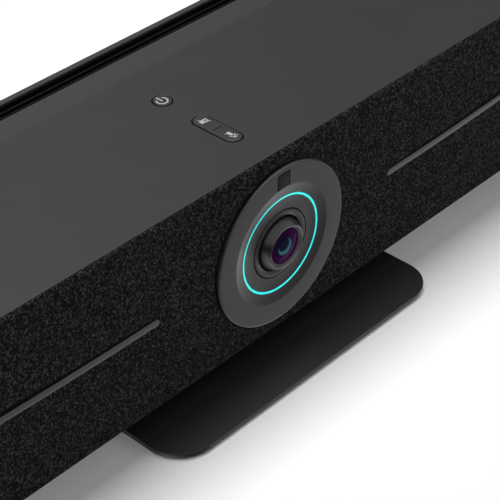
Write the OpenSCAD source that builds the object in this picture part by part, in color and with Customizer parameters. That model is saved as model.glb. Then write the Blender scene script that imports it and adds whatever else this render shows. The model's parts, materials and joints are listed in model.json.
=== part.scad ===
// A wide video bar for a meeting room, standing on a flat foot.
// The origin is under the middle of the bar at table level. The front faces -Y, and Z points up.

/* [Bar] */
// Width of the bar from end to end
bar_w = 640; // [600:10:760]
// Height of the bar
bar_h = 96; // [94:1:106]
// Depth of the bar from the fabric to the rear face
bar_d = 124; // [120:1:140]
// Radius of the upright corners, seen from above
corner_r = 20; // [12:1:26]
// Radius of the long front edges
edge_r = 2; // [1.6:0.2:3]
// How far the fabric reaches back at the ends
fabric_return = 60; // [40:2:80]
// Distance from the fabric to the crease in the top
crease_y = 93; // [88:1:100]
// Distance from the crease to the rear edge of the top cover
facet_d = 16; // [12:1:17]
// Drop of the rear facet over its whole run to the rear face
facet_drop = 3.2; // [2:0.2:4]

/* [Walls] */
// Thickness of the knitted fabric
fabric_t = 0.8; // [0.6:0.1:1]
// Wall of the grille carrier
carrier_t = 2; // [1.6:0.1:2.4]
// Wall of the rear cover
rear_t = 2.8; // [2.4:0.2:3.2]
// Thickness of the top and bottom covers
cover_t = 2.4; // [2:0.1:2.8]
// Gap along the seams between covers
seam = 0.2; // [0.15:0.05:0.3]
// Wall of the chassis tray
chassis_t = 1.2; // [1:0.1:1.6]

/* [Trim] */
// Height of a trim strip
strip_h = 3.2; // [2:0.1:4]
// How far a trim strip stands out of the fabric
strip_proud = 0.8; // [0.4:0.1:1.2]
// Gap between a trim strip and the fabric round it
strip_gap = 0.6; // [0.3:0.1:0.9]
// Distance from the middle to a strip's inner end
strip_start = 76; // [60:1:90]
// Distance from the bar's end to a strip's outer end
strip_end = 36; // [30:1:60]
// Height of the strips over the underside of the bar
strip_z = 48; // [46:0.2:52]

/* [Camera] */
// Height of the lens axis over the underside of the bar
lens_z = 48; // [46:0.5:50]
// Diameter of the round bezel
disc_dia = 82; // [80:1:84]
// How far the bezel stands out of the fabric
disc_proud = 1.75; // [1.2:0.05:2.4]
// Rounding of the bezel's rim
rim_r = 0.6; // [0.4:0.1:1]
// Diameter of the dished middle
dish_dia = 60.4; // [58:0.2:62]
// Depth of the dish at its inner edge
dish_depth = 1.35; // [1:0.05:1.6]
// Diameter of the light ring's middle line
ring_dia = 48.8; // [46:0.2:50]
// Width of the light ring
ring_w = 1; // [0.8:0.1:1.4]
// Outer diameter of the black gap round the collar
gap_dia = 34.8; // [34:0.2:36]
// Outer diameter of the collar round the lens
collar_dia = 33.8; // [33:0.2:33.8]
// Diameter of the lens barrel at its foot
barrel_dia = 26.8; // [26:0.2:27]
// Diameter of the lens barrel at its rim
barrel_rim_dia = 21.8; // [21.4:0.1:22.5]
// How far the rim stands out of the bezel
barrel_proud = 2.7; // [2.2:0.1:3.2]
// Diameter of the front lens
glass_dia = 18; // [17.6:0.1:18.4]
// Side of the square sensor window
window_side = 7.6; // [6:0.1:8]
// Height of the sensor window over the lens axis
window_rise = 34.4; // [34:0.1:34.8]
// Number of lamps behind the light ring
lamps = 24; // [12:1:32]

/* [Keys] */
// Sideways place of the keys
key_x = -5; // [-8:0.5:4]
// Distance from the fabric to the middle of the long key
key_y = 33.2; // [32:0.2:35]
// Length of the long key
key_len = 27; // [26:0.1:28]
// Width of the long key
key_w = 9; // [8.6:0.1:11]
// Distance from the fabric to the middle of the power button
power_y = 67; // [66:0.5:69]
// Diameter of the power button
power_dia = 9.1; // [8.6:0.1:11]
// Gap round the keys
key_gap = 0.45; // [0.35:0.05:0.5]
// How far the keys stand out of the top cover
key_proud = 0.25; // [0.15:0.05:0.5]
// Travel of the power button
power_travel = 0.5; // [0.3:0.1:0.6]

/* [Speakers] */
// Distance from the middle to a speaker's axis
speaker_x = 170; // [165:1:180]
// Diameter of the speaker's mounting flange
speaker_dia = 72; // [70:1:74]
// Distance from the bar's end to the far side of a speaker box
box_end = 26; // [24:1:30]
// Distance from the middle to the near side of a speaker box
box_x = 88; // [86:1:90]
// Wall of a speaker box
box_t = 2.5; // [2:0.1:3]
// Travel of a speaker cone each way
cone_travel = 2; // [1:0.5:2]

/* [Boards] */
// Thickness of a circuit board
board_t = 1.6; // [1.2:0.1:2]
// How far the main board reaches past the socket bay on each side
main_margin = 8; // [7:0.5:10]
// Depth of the main board
main_d = 72; // [70:1:74]
// Height of the spacers under the main board
spacer_h = 6; // [5:0.5:7]
// Number of fins on the heat sink
fins = 15; // [9:2:19]
// Height of the fins
fin_h = 34; // [20:1:38]

/* [Rear] */
// Width of the socket bay
bay_w = 132; // [130:1:134]
// Height of the socket bay
bay_h = 24; // [23:1:28]
// Depth of the socket bay
bay_d = 14; // [13:1:15]
// Width of the vent behind the top cover
vent_w = 400; // [300:20:500]
// Width of the lip behind the vent
lip_d = 3.6; // [3:0.2:4]
// Spacing of the wall bracket's holes across
wall_dx = 200; // [180:5:220]
// Spacing of the wall bracket's holes up and down
wall_dz = 50; // [40:1:56]
// Bore of a wall bracket insert
insert_bore = 3.3; // [3.2:0.1:3.4]

/* [Stand] */
// Width of the foot
foot_w = 180; // [170:2:220]
// Thickness of the foot
foot_t = 2.5; // [2.4:0.1:4]
// How far the foot reaches in front of the fabric
foot_overhang = 25.2; // [20:0.2:35]
// Corner radius of the foot
foot_r = 18; // [12:1:26]
// Thickness of the rubber pad under the foot
pad_t = 0.8; // [0.5:0.1:1.2]
// Height of the neck between foot and bar
neck_h = 9.5; // [8:0.5:14]
// Width of the neck
neck_w = 140; // [120:2:150]
// Depth of the neck
neck_d = 64; // [60:2:70]
// Distance from the fabric to the neck's front
neck_back = 28; // [24:1:32]

/* [Hidden] */
$fn = 96;

// Overrun of every cut
over = 1;
// Clearance between fixed pieces that fit in one another
fit = 0.05;
// Clearance between pieces that lie next to each other
lie = 0.2;

// Places of the bar in the part's own frame
foot_d = foot_overhang + bar_d;
front_y = foot_overhang - foot_d / 2;
bar_z = pad_t + foot_t + neck_h;

// Inner faces, counted from the fabric and from the bar's underside
skin = fabric_t + carrier_t;
box_w = bar_w / 2 - box_end - box_x;
main_w = bay_w + 2 * main_margin;
top_in = bar_h - cover_t;
cover_end = crease_y + facet_d;
facet_run = bar_d - crease_y;
facet_slope = facet_drop / facet_run;
cover_end_drop = facet_d * facet_slope;

// Camera radii, and heights forward from the fabric
disc_r = disc_dia / 2;
dish_r = dish_dia / 2;
gap_r = gap_dia / 2;
ring_in = ring_dia / 2 - ring_w / 2;
ring_out = ring_dia / 2 + ring_w / 2;
disc_lap = 1.4;
hole_r = disc_r - disc_lap;
disc_back = 5;
ring_back = 4;
window_t = 1.6;
window_r = 1;
window_sink = 0.05;
dish_steps = 12;
collar_r = collar_dia / 2;
collar_slope = 0.25;
barrel_r = barrel_dia / 2;
rim_out = barrel_rim_dia / 2;
rim_h = disc_proud + barrel_proud;
barrel_len = 24;
barrel_wall = 1.4;
shoulder_h = 0.4;
shoulder_steps = 10;
glass_r = glass_dia / 2;
glass_sink = 1.4;
rim_land = 0.4;
glass_seat = 1.6;
glass_rise = 1;
inner_r = 7.4;
inner_seat_r = 6.4;
inner_rise = 1.4;
inner_t = 2.6;
inner_front = 3.4;
inner_pitch = 8;
holder_flange = 44;
holder_body = 34;
holder_flange_t = 2;
holder_end = 30;
holder_bore_r = 8.6;
sensor_w = 9;
sensor_h = 7;
sensor_t = 0.9;
sensor_board_w = 40;
sensor_board_h = 36;
lamp_fit = 0.1;
lamp_w = ring_w - 2 * lamp_fit;
lamp_l = 1.6;
lamp_h = 0.8;
ring_board_t = 1;
ring_board_in = 18;
bracket_t = 1.6;
bracket_w = 96;
bracket_top = 6;
bracket_gap = 0.4;
bracket_foot = 16;
bracket_hole_r = 15;
post_r = 3;
post_pitch_r = 34;
post_angles = [30, 150, 270];

// Keys, counted down from the underside of the top cover
power_flange = 1;
power_flange_t = 1;
power_stem_r = 1.6;
key_stem_r = 1.5;
key_stem_y = 8;
key_skirt = 3;
pin_r = 1;
pin_fit = 0.05;
pin_len = 2.6;
pin_drop = 1.8;
ear_t = 1.6;
ear_w = 4;
ear_gap = 0.35;
carrier_drop = 10.2;
carrier_plate_t = 1.5;
carrier_w = 34;
carrier_front = 17;
carrier_rear = 12;
carrier_post_r = 2.4;
carrier_post_in = 3.2;
key_board_t = 1.2;
key_board_in = 6;
switch_side = 6;
switch_h = 3;
plunger_r = 1.2;
plunger_h = 0.5;
switch_gap = power_travel + lie;

// Speaker, counted back from the front of its flange
speaker_front = 8;
flange_t = 2;
flange_w = 5.5;
basket_depth = 18;
basket_ring_t = 2;
basket_legs = 4;
leg_w = 8;
leg_t = 3;
basket_lap = 2.6;
cone_gap = 0.4;
cone_t = 0.8;
cone_front = 1.5;
cone_depth = 11.5;
coil_r = 10;
coil_t = 0.4;
coil_end = 28;
coil_gap = 0.4;
cap_rise = 3;
cap_steps = 8;
roll_spare = 0.4;
roll_r = cone_travel + roll_spare;
roll_t = 0.5;
roll_foot = 2;
magnet_r = 26;
magnet_t = 16;
magnet_back = 3;
screw_hole_r = 1.7;

// Speaker box, chassis and boards
box_front = speaker_front + flange_t;
box_d = 82;
box_top_gap = 3;
chassis_gap = seam;
chassis_in = 18;
chassis_front = 6.4;
chassis_rear = 10;
spacer_r = 3;
board_hole_in = 5;
main_gap = 1.2;
chip_w = 30;
chip_t = 2.4;
sink_w = 120;
sink_d = 44;
sink_base = 3;
sink_rear = 22;
fin_t = 1.4;
mic_board_h = 6;
mic_board_t = 1;
mic_start = 64;
mic_end = 40;
mic_len = bar_w / 2 - mic_end - mic_start;
mic_drop = 4;
mic_count = 3;
mic_w = 3.6;
mic_t = 1.2;
mic_port_r = 0.6;
aerial_w = 36;
aerial_h = 16;
aerial_t = 1;
aerial_z = 58;
aerial_y = 20;

// Openings in the carrier in front of each speaker
slot_w = 1.8;
slot_h = 6;
slot_pitch_x = 4;
slot_pitch_z = 9;
slot_cols = 19;
slot_rows = 8;

// Rear bay
bay_t = 2;
bay_z = cover_t + chassis_gap + chassis_t + spacer_h + board_t;

// Sockets from left to right: power, video, video, small USB, USB, USB, network
socket_clear = 0.25;
socket_wall = 0.7;
jack_side = 11;
jack_len = 13;
jack_bore_r = 3.2;
jack_pin_r = 1;
video_w = 15;
video_h = 6;
video_len = 11;
video_tongue = 10;
usb_w = 14;
usb_h = 7;
usb_len = 14;
usb_tongue = 9;
usb_c_w = 9.4;
usb_c_h = 3.6;
usb_c_len = 8;
usb_c_tongue = 6;
network_w = 16;
network_h = 13.4;
network_len = 18;
network_wall = 2.1;
socket_w = [jack_side, video_w, video_w, usb_c_w, usb_w, usb_w, network_w];
socket_h = [jack_side, video_h, video_h, usb_c_h, usb_h, usb_h, network_h];
socket_x_shares = [-0.82, -0.515, -0.227, 0.03, 0.273, 0.545, 0.833];

// Vent
vent_t = 1.6;
vent_depth = 6;
vent_wall = 1;
vent_blades = 2;
blade_t = 1.2;
blade_sink = 1;
vent_slot_w = 8;
vent_slot_pitch = 10;
vent_slot_d = 1.8;

// Wall bracket inserts
insert_r = 3;
insert_len = 8;
boss_r = 4.6;
wall_low = 20;

// Screws
m3_r = 1.5;
m3_head_r = 2.8;
m3_head_h = 1.6;
m4_r = 2;
m4_head_r = 3.8;
m4_head_h = 1.8;
cover_screw_x_shares = [-0.9, -0.45, 0.45, 0.9];
cover_screw_in = 12;
pillar_r = 3;
pillar_front = 20;
pillar_crease = 9;
stand_screw_in = 14;
neck_wall = 3;
neck_r = 12;
neck_boss_r = 6;
pad_in = 4;
pad_slot = 1;

// Sideways place of a socket
function socket_x(i) = socket_x_shares[i] * bay_w / 2;

// Depth of the dish at a radius: a parabola, level at the inner edge
function dish_at(r) = dish_depth * (1 - pow((r - gap_r) / (dish_r - gap_r), 2));

// Drop of the rear facet at a distance from the fabric
function facet_at(y) = max(0, y - crease_y) * facet_slope;

// Moves to the bar's own corner: the fabric at y = 0, the bar's underside at z = 0
module at_bar() { translate([0, front_y, bar_z]) children(); }

// Moves to the lens axis with z pointing forward, out of the fabric
module at_lens() { at_bar() translate([0, 0, lens_z]) rotate([90, 0, 0]) children(); }

// Moves to a speaker's axis with z pointing back from the front of the flange
module at_speaker(side) {
    at_bar() translate([side * speaker_x, speaker_front, lens_z]) rotate([-90, 0, 0]) children();
}

// A rectangle with round corners, its middle at the origin
module round_rect(w, h, r) {
    square([w - 2 * r, h], center = true);
    square([w, h - 2 * r], center = true);
    for (x = [-1, 1], y = [-1, 1])
        translate([x * (w / 2 - r), y * (h / 2 - r)]) circle(r);
}

// Outline of the bar from above, drawn in by a margin
module plan(margin) {
    translate([0, bar_d / 2]) round_rect(bar_w - 2 * margin, bar_d - 2 * margin, corner_r - margin);
}

// Outline of the bar from the side, drawn in by a margin
module side(margin) {
    difference() {
        translate([bar_d / 2, bar_h / 2])
            round_rect(bar_d - 2 * margin, bar_h - 2 * margin, max(edge_r - margin, seam));
        translate([crease_y, bar_h - margin])
            polygon([[0, 0], [facet_run + over, -(facet_run + over) * facet_slope],
                [facet_run + over, over], [0, over]]);
    }
}

// Outline of the bar from the front, drawn in by a margin
module front(margin) {
    translate([0, bar_h / 2])
        round_rect(bar_w - 2 * margin, bar_h - 2 * margin, max(edge_r - margin, seam));
}

// The closed body of the bar, drawn in by a margin
module bar_solid(margin) {
    intersection() {
        linear_extrude(bar_h) plan(margin);
        translate([bar_w / 2, 0, 0]) rotate([90, 0, -90]) linear_extrude(bar_w) mirror([1, 0]) side(margin);
        translate([0, bar_d, 0]) rotate([90, 0, 0]) linear_extrude(bar_d) front(margin);
    }
}

// A hollow shell between two margins
module bar_shell(outer, inner) {
    difference() {
        bar_solid(outer);
        bar_solid(inner);
    }
}

// The part of the bar in front of the ends' seam, and behind it
module front_zone(margin) {
    translate([-bar_w / 2 - over, -over, -over])
        cube([bar_w + 2 * over, fabric_return - margin + over, bar_h + 2 * over]);
}
module rear_zone(margin) {
    translate([-bar_w / 2 - over, fabric_return + margin, -over])
        cube([bar_w + 2 * over, bar_d, bar_h + 2 * over]);
}

// Opens the top and the underside of a shell of a given wall for the covers
module cover_openings(wall) {
    cut = max(wall, cover_t) + lie;
    translate([0, 0, -over]) linear_extrude(cut + over) plan(edge_r);
    translate([0, 0, bar_h - cut]) linear_extrude(cut + over) plan(edge_r);
}

// The strip's outline on the front, for one side
module strip_outline(side, grow) {
    len = bar_w / 2 - strip_end - strip_start;
    translate([side * (strip_start + len / 2), strip_z])
        round_rect(len + 2 * grow, strip_h + 2 * grow, strip_h / 2 + grow - fit);
}

module strip_solid(side, front, depth, grow) {
    translate([0, depth, 0]) rotate([90, 0, 0]) linear_extrude(depth + front) strip_outline(side, grow);
}

module front_fabric() {
    color("#1b1b1c") at_bar() difference() {
        bar_shell(0, fabric_t);
        rear_zone(0);
        cover_openings(skin);
        for (s = [-1, 1]) strip_solid(s, over, skin, strip_gap);
        translate([0, 0, lens_z]) rotate([90, 0, 0])
            translate([0, 0, -bar_d]) cylinder(h = bar_d + over, r = hole_r);
    }
}

module grille_carrier() {
    color("#151516") at_bar() difference() {
        bar_shell(fabric_t, skin);
        rear_zone(0);
        cover_openings(skin);
        translate([0, 0, lens_z]) rotate([90, 0, 0])
            translate([0, 0, -bar_d]) cylinder(h = bar_d + over, r = hole_r);
        for (s = [-1, 1]) {
            translate([s * speaker_x, skin + over, lens_z]) rotate([90, 0, 0])
                linear_extrude(skin + 2 * over) speaker_slots();
            for (i = [0 : mic_count - 1])
                translate([s * mic_x(i), skin + over, mic_z() + mic_board_h / 2])
                    rotate([90, 0, 0]) cylinder(h = carrier_t + over * 2, r = mic_port_r);
        }
    }
}

// Upright slots inside a circle a little smaller than the cone
module speaker_slots() {
    reach = speaker_dia / 2 - flange_w;
    for (i = [0 : slot_cols - 1], j = [0 : slot_rows - 1]) {
        x = (i - (slot_cols - 1) / 2) * slot_pitch_x;
        z = (j - (slot_rows - 1) / 2) * slot_pitch_z;
        if (norm([abs(x) + slot_w, abs(z) + slot_h / 2]) < reach && abs(z + lens_z - strip_z) > strip_h)
            translate([x - slot_w / 2, z - slot_h / 2]) square([slot_w, slot_h]);
    }
}

module trim_strip(side) {
    color("#58585a") at_bar() strip_solid(side, strip_proud, fabric_t, 0);
}

module camera_bezel() {
    color("#4a4a4c") at_lens() difference() {
        rotate_extrude() polygon(concat(
            [[hole_r - fit, -disc_back], [hole_r - fit, 0], [disc_r, 0]],
            [for (a = [0 : 15 : 90])
                [disc_r - rim_r + rim_r * cos(a), disc_proud - rim_r + rim_r * sin(a)]],
            dish_points(dish_r, ring_out + fit),
            [[ring_out + fit, -disc_back]]));
        translate([0, window_rise, disc_proud - window_t]) linear_extrude(window_t + over)
            round_rect(window_side + 2 * fit, window_side + 2 * fit, window_r);
    }
}

// Points of the dished face between two radii, from the outer one inward
function dish_points(r_from, r_to) = [for (i = [0 : dish_steps])
    let (r = r_from + (r_to - r_from) * i / dish_steps) [r, disc_proud - dish_at(r)]];

module light_ring() {
    color("#28e6e0") at_lens() rotate_extrude() polygon([
        [ring_in, -ring_back], [ring_out, -ring_back],
        [ring_out, disc_proud - dish_at(ring_out)], [ring_in, disc_proud - dish_at(ring_in)]]);
}

module lens_dish() {
    color("#48484a") at_lens() rotate_extrude() polygon(concat(
        [[ring_in - fit, -disc_back]],
        dish_points(ring_in - fit, gap_r),
        [[gap_r, -disc_back]]));
}

module sensor_window() {
    color("#232324") at_lens() translate([0, window_rise, disc_proud - window_t])
        linear_extrude(window_t - window_sink) round_rect(window_side, window_side, window_r);
}

module lens_collar() {
    face = disc_proud - dish_depth;
    color("#464647") at_lens() rotate_extrude() polygon([
        [barrel_r + fit, -disc_back], [collar_r, -disc_back],
        [collar_r, face], [barrel_r + fit, face - collar_slope]]);
}

module lens_barrel() {
    foot = disc_proud - dish_depth - collar_slope;
    glass_h = rim_h - glass_sink - glass_seat;
    color("#3c3c3d") at_lens() rotate_extrude() polygon(concat(
        [[barrel_r - barrel_wall, -barrel_len], [barrel_r, -barrel_len], [barrel_r, foot]],
        [for (i = [1 : shoulder_steps]) let (a = 90 * i / shoulder_steps)
            [rim_out + (barrel_r - rim_out) * cos(a), foot + shoulder_h + (rim_h - foot - shoulder_h) * sin(a)]],
        [[rim_out - rim_land, rim_h], [glass_r + fit, rim_h - glass_sink],
            [glass_r + fit, glass_h], [inner_r + fit, glass_h],
            [inner_r + fit, -inner_front - inner_pitch - inner_t],
            [inner_seat_r, -inner_front - inner_pitch - inner_t],
            [inner_seat_r, -barrel_len]]));
}

// A lens element: a flat back, a straight rim and a domed front that rises over the rim
module lens(r, t, rise) {
    dome = (r * r + rise * rise) / (2 * rise);
    intersection() {
        cylinder(h = t, r = r);
        translate([0, 0, t - dome]) sphere(dome);
    }
}

module front_lens() {
    color("#3a0a46") at_lens() translate([0, 0, rim_h - glass_sink - glass_seat])
        lens(glass_r, glass_seat + glass_rise, glass_rise);
}

module inner_lenses() {
    color("#2a3c50") at_lens() for (i = [0, 1])
        translate([0, 0, -inner_front - inner_t - i * inner_pitch]) lens(inner_r, inner_t, inner_rise);
}

module lens_holder() {
    color("#2c2c2e") at_lens() difference() {
        union() {
            translate([0, 0, -holder_front() - holder_flange_t])
                linear_extrude(holder_flange_t) round_rect(holder_flange, holder_flange, post_r);
            translate([0, 0, -holder_end])
                linear_extrude(holder_end - holder_front()) round_rect(holder_body, holder_body, post_r);
        }
        translate([0, 0, -barrel_len]) cylinder(h = barrel_len, r = barrel_r + fit);
        translate([0, 0, -holder_end - over]) cylinder(h = holder_end, r = holder_bore_r);
    }
}

// Back of the camera bracket, where the holder's flange rests
function bracket_front() = disc_back + ring_board_t + bracket_gap;
function holder_front() = bracket_front() + bracket_t;

module image_sensor() {
    color("#30506a") at_lens() translate([-sensor_w / 2, -sensor_h / 2, -holder_end])
        cube([sensor_w, sensor_h, sensor_t]);
}

module sensor_board() {
    color("#1c5a34") at_lens() translate([0, 0, -holder_end - key_board_t])
        linear_extrude(key_board_t) round_rect(sensor_board_w, sensor_board_h, window_r);
}

module ring_board() {
    color("#1c5a34") at_lens() {
        translate([0, 0, -disc_back - ring_board_t]) difference() {
            cylinder(h = ring_board_t, r = hole_r - lie);
            translate([0, 0, -over]) cylinder(h = ring_board_t + 2 * over, r = ring_board_in);
        }
        for (i = [0 : lamps - 1]) rotate(i * 360 / lamps)
            translate([ring_dia / 2 - lamp_w / 2, -lamp_l / 2, -disc_back - ring_board_t / 2])
                cube([lamp_w, lamp_l, lamp_h + ring_board_t / 2]);
    }
}

module camera_bracket() {
    bottom = chassis_top();
    rise = bar_h - bracket_top - bottom;
    color("#9a9c9e") at_bar() difference() {
        union() {
            translate([-bracket_w / 2, bracket_front(), bottom]) cube([bracket_w, bracket_t, rise]);
            translate([-bracket_w / 2, bracket_front(), bottom]) cube([bracket_w, bracket_foot, bracket_t]);
            for (a = post_angles) at_disc_post(a) cylinder(h = bracket_gap, r = post_r);
        }
        translate([0, 0, lens_z]) rotate([-90, 0, 0]) cylinder(h = bar_d, r = bracket_hole_r);
    }
}

// A low boss on the bracket that the ring board lies on
module at_disc_post(a) {
    translate([post_pitch_r * cos(a), disc_back + ring_board_t, lens_z + post_pitch_r * sin(a)])
        rotate([-90, 0, 0]) children();
}

module pill(w, l, h) {
    linear_extrude(h) {
        square([w, l - w], center = true);
        for (s = [-1, 1]) translate([0, s * (l - w) / 2]) circle(d = w);
    }
}

module top_cover() {
    color("#464647") at_bar() difference() {
        intersection() {
            linear_extrude(bar_h) plan(edge_r + seam);
            translate([bar_w / 2, 0, 0]) rotate([90, 0, -90]) linear_extrude(bar_w) mirror([1, 0])
                polygon([[0, top_in], [0, bar_h], [crease_y, bar_h], [cover_end, bar_h - cover_end_drop],
                    [cover_end, top_in - cover_end_drop], [crease_y, top_in]]);
        }
        translate([key_x, key_y, 0])
            pill(key_w + 2 * key_gap, key_len + 2 * key_gap, bar_h + over);
        translate([key_x, power_y, 0]) cylinder(h = bar_h + over, d = power_dia + 2 * key_gap);
    }
}

module power_button() {
    low = top_in - carrier_drop + key_board_t + switch_h + plunger_h + switch_gap;
    color("#474748") at_bar() translate([key_x, power_y, 0]) {
        translate([0, 0, top_in - lie]) cylinder(h = cover_t + lie + key_proud, d = power_dia);
        translate([0, 0, top_in - lie - power_flange_t])
            cylinder(h = power_flange_t, d = power_dia + 2 * key_gap + 2 * power_flange);
        translate([0, 0, low]) cylinder(h = top_in - lie - low, r = power_stem_r);
    }
}

module rocker_key() {
    low = top_in - carrier_drop + key_board_t + switch_h + plunger_h + switch_gap;
    color("#474748") at_bar() translate([key_x, key_y, 0]) {
        translate([0, 0, top_in - key_skirt]) pill(key_w, key_len, cover_t + key_skirt + key_proud);
        for (s = [-1, 1])
            translate([0, s * key_stem_y, low]) cylinder(h = top_in - low - over, r = key_stem_r);
        translate([-key_w / 2 - pin_len, 0, top_in - pin_drop]) rotate([0, 90, 0])
            cylinder(h = key_w + 2 * pin_len, r = pin_r);
    }
}

module key_carrier() {
    length = power_y - key_y + carrier_front + carrier_rear;
    low = top_in - carrier_drop - carrier_plate_t;
    color("#262628") at_bar() translate([key_x, key_y - carrier_front, low]) {
        translate([-carrier_w / 2, 0, 0]) cube([carrier_w, length, carrier_plate_t]);
        for (x = [-1, 1], y = [carrier_post_in, length - carrier_post_in])
            translate([x * (carrier_w / 2 - carrier_post_in), y, 0])
                cylinder(h = carrier_drop + carrier_plate_t, r = carrier_post_r);
        for (s = [-1, 1]) difference() {
            translate([s * (key_w / 2 + ear_gap + ear_t / 2) - ear_t / 2, carrier_front - ear_w / 2, 0])
                cube([ear_t, ear_w, carrier_drop + carrier_plate_t - lie]);
            translate([-carrier_w / 2, carrier_front, carrier_drop + carrier_plate_t - pin_drop])
                rotate([0, 90, 0]) cylinder(h = carrier_w, r = pin_r + pin_fit);
        }
    }
}

module key_board() {
    length = power_y - key_y + carrier_front + carrier_rear - 2 * key_board_in;
    width = key_w - 2 * lie;
    color("#1c5a34") at_bar() translate([key_x - width / 2, key_y - carrier_front + key_board_in,
        top_in - carrier_drop]) cube([width, length, key_board_t]);
}

module key_switches() {
    color("#1a1a1b") at_bar() for (y = [key_y - key_stem_y, key_y + key_stem_y, power_y])
        translate([key_x, y, top_in - carrier_drop + key_board_t]) {
            translate([-switch_side / 2, -switch_side / 2, 0]) cube([switch_side, switch_side, switch_h]);
            cylinder(h = switch_h + plunger_h, r = plunger_r);
        }
}

module vent_grille() {
    y0 = cover_end + seam;
    depth = bar_d - lip_d - seam - y0;
    top = bar_h - facet_at(y0 + depth) - seam;
    floor_z = top - vent_depth;
    slots = floor((vent_w - 2 * vent_wall - vent_slot_pitch) / vent_slot_pitch);
    lane = (depth - 2 * vent_wall - vent_blades * blade_t) / (vent_blades + 1);
    color("#0c0c0d") at_bar() translate([0, y0, floor_z]) {
        difference() {
            translate([-vent_w / 2 + seam, 0, 0]) cube([vent_w - 2 * seam, depth, vent_depth]);
            translate([-vent_w / 2 + seam + vent_wall, vent_wall, vent_t])
                cube([vent_w - 2 * seam - 2 * vent_wall, depth - 2 * vent_wall, vent_depth]);
            for (i = [0 : slots - 1], j = [0 : vent_blades])
                translate([(i - (slots - 1) / 2) * vent_slot_pitch - vent_slot_w / 2,
                    vent_wall + j * (lane + blade_t) + (lane - vent_slot_d) / 2, -over])
                    cube([vent_slot_w, vent_slot_d, vent_t + 2 * over]);
        }
        for (j = [1 : vent_blades])
            translate([-vent_w / 2 + seam + vent_wall, vent_wall + j * lane + (j - 1) * blade_t, 0])
                cube([vent_w - 2 * seam - 2 * vent_wall, blade_t, vent_depth - blade_sink]);
    }
}

// Places of the four wall bracket inserts
module at_wall_holes() {
    for (x = [-1, 1], z = [0, 1])
        translate([x * wall_dx / 2, bar_d, wall_low + z * wall_dz]) rotate([90, 0, 0]) children();
}

module socket_holes() {
    for (i = [0 : len(socket_w) - 1])
        translate([socket_x(i) - socket_w[i] / 2 - socket_clear, bar_d - bay_d - bay_t - over,
            bay_z - socket_clear])
            cube([socket_w[i] + 2 * socket_clear, bay_t + 2 * over, socket_h[i] + 2 * socket_clear]);
}

module rear_cover() {
    low = bay_z - bay_t;
    color("#3e3e40") at_bar() difference() {
        union() {
            difference() {
                bar_shell(0, rear_t);
                front_zone(-seam);
                rear_openings();
                translate([-bay_w / 2, bar_d - rear_t - over, low]) cube([bay_w, rear_t + 2 * over, bay_h]);
            }
            bay_walls(low);
            at_wall_holes() cylinder(h = insert_len + rear_t, r = boss_r);
        }
        at_wall_holes() translate([0, 0, -over]) cylinder(h = insert_len + over, r = insert_r + fit);
        socket_holes();
    }
}

// Opens the underside, and the top for the top cover and the vent
module rear_openings() {
    low = max(rear_t, cover_t) + lie;
    high = bar_h - low - facet_drop;
    translate([0, 0, -over]) linear_extrude(low + over) plan(edge_r);
    intersection() {
        translate([0, 0, high]) linear_extrude(bar_h) plan(edge_r);
        translate([-bar_w / 2, 0, high]) cube([bar_w, cover_end + seam, bar_h]);
    }
    translate([-vent_w / 2, fabric_return, bar_h / 2])
        cube([vent_w, bar_d - lip_d - fabric_return, bar_h]);
}

// Floor, roof, sides and back of the socket bay
module bay_walls(low) {
    translate([-bay_w / 2 - bay_t, bar_d - bay_d - bay_t, low - bay_t]) difference() {
        cube([bay_w + 2 * bay_t, bay_d + bay_t, bay_h + 2 * bay_t]);
        translate([bay_t, bay_t, bay_t]) cube([bay_w, bay_d + over, bay_h]);
    }
}

module bottom_cover() {
    color("#2a2a2b") at_bar() difference() {
        linear_extrude(cover_t) plan(edge_r + seam);
        at_cover_screws() translate([0, 0, -over]) cylinder(h = cover_t + 2 * over, r = m3_r + lie);
        at_cover_screws() translate([0, 0, -over]) cylinder(h = m3_head_h + over, r = m3_head_r + lie);
        at_stand_screws() translate([0, 0, -over]) cylinder(h = cover_t + 2 * over, r = m4_r + lie);
    }
}

module at_cover_screws() {
    for (share = cover_screw_x_shares, y = [cover_screw_in, bar_d - cover_screw_in])
        translate([share * (bar_w / 2 - corner_r), y, 0]) children();
}

module at_stand_screws() {
    for (x = [-1, 1], y = [stand_screw_in, neck_d - stand_screw_in])
        translate([x * (neck_w / 2 - stand_screw_in), neck_back + y, 0]) children();
}

function chassis_low() = cover_t + chassis_gap;
function chassis_top() = chassis_low() + chassis_t;

module chassis() {
    width = bar_w - 2 * chassis_in;
    color("#8c8e90") at_bar() difference() {
        union() {
            translate([-width / 2, chassis_front, chassis_low()])
                cube([width, bar_d - chassis_front - chassis_rear, chassis_t]);
            at_board_holes() translate([0, 0, chassis_low()]) cylinder(h = chassis_t + spacer_h, r = spacer_r);
        }
        at_stand_screws() translate([0, 0, -over]) cylinder(h = bar_h, r = m4_r + fit);
        at_cover_screws() translate([0, 0, -over]) cylinder(h = bar_h, r = m3_r + fit);
    }
}

function main_rear() = bar_d - bay_d - bay_t - main_gap;

module at_board_holes() {
    for (x = [-1, 1], y = [board_hole_in, main_d - board_hole_in])
        translate([x * (main_w / 2 - board_hole_in), main_rear() - y, 0]) children();
}

module main_board() {
    color("#1c5a34") at_bar() translate([-main_w / 2, main_rear() - main_d, chassis_top() + spacer_h])
        cube([main_w, main_d, board_t]);
}

function sink_y() = main_rear() - sink_rear - sink_d;

module processor() {
    color("#202022") at_bar() translate([-chip_w / 2, sink_y() + sink_d / 2 - chip_w / 2, bay_z])
        cube([chip_w, chip_w, chip_t]);
}

module heat_sink() {
    gap = (sink_w - fins * fin_t) / (fins - 1);
    color("#a4a6a8") at_bar() translate([-sink_w / 2, sink_y(), bay_z + chip_t]) {
        cube([sink_w, sink_d, sink_base]);
        for (i = [0 : fins - 1])
            translate([i * (fin_t + gap), 0, 0]) cube([fin_t, sink_d, sink_base + fin_h]);
    }
}

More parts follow.
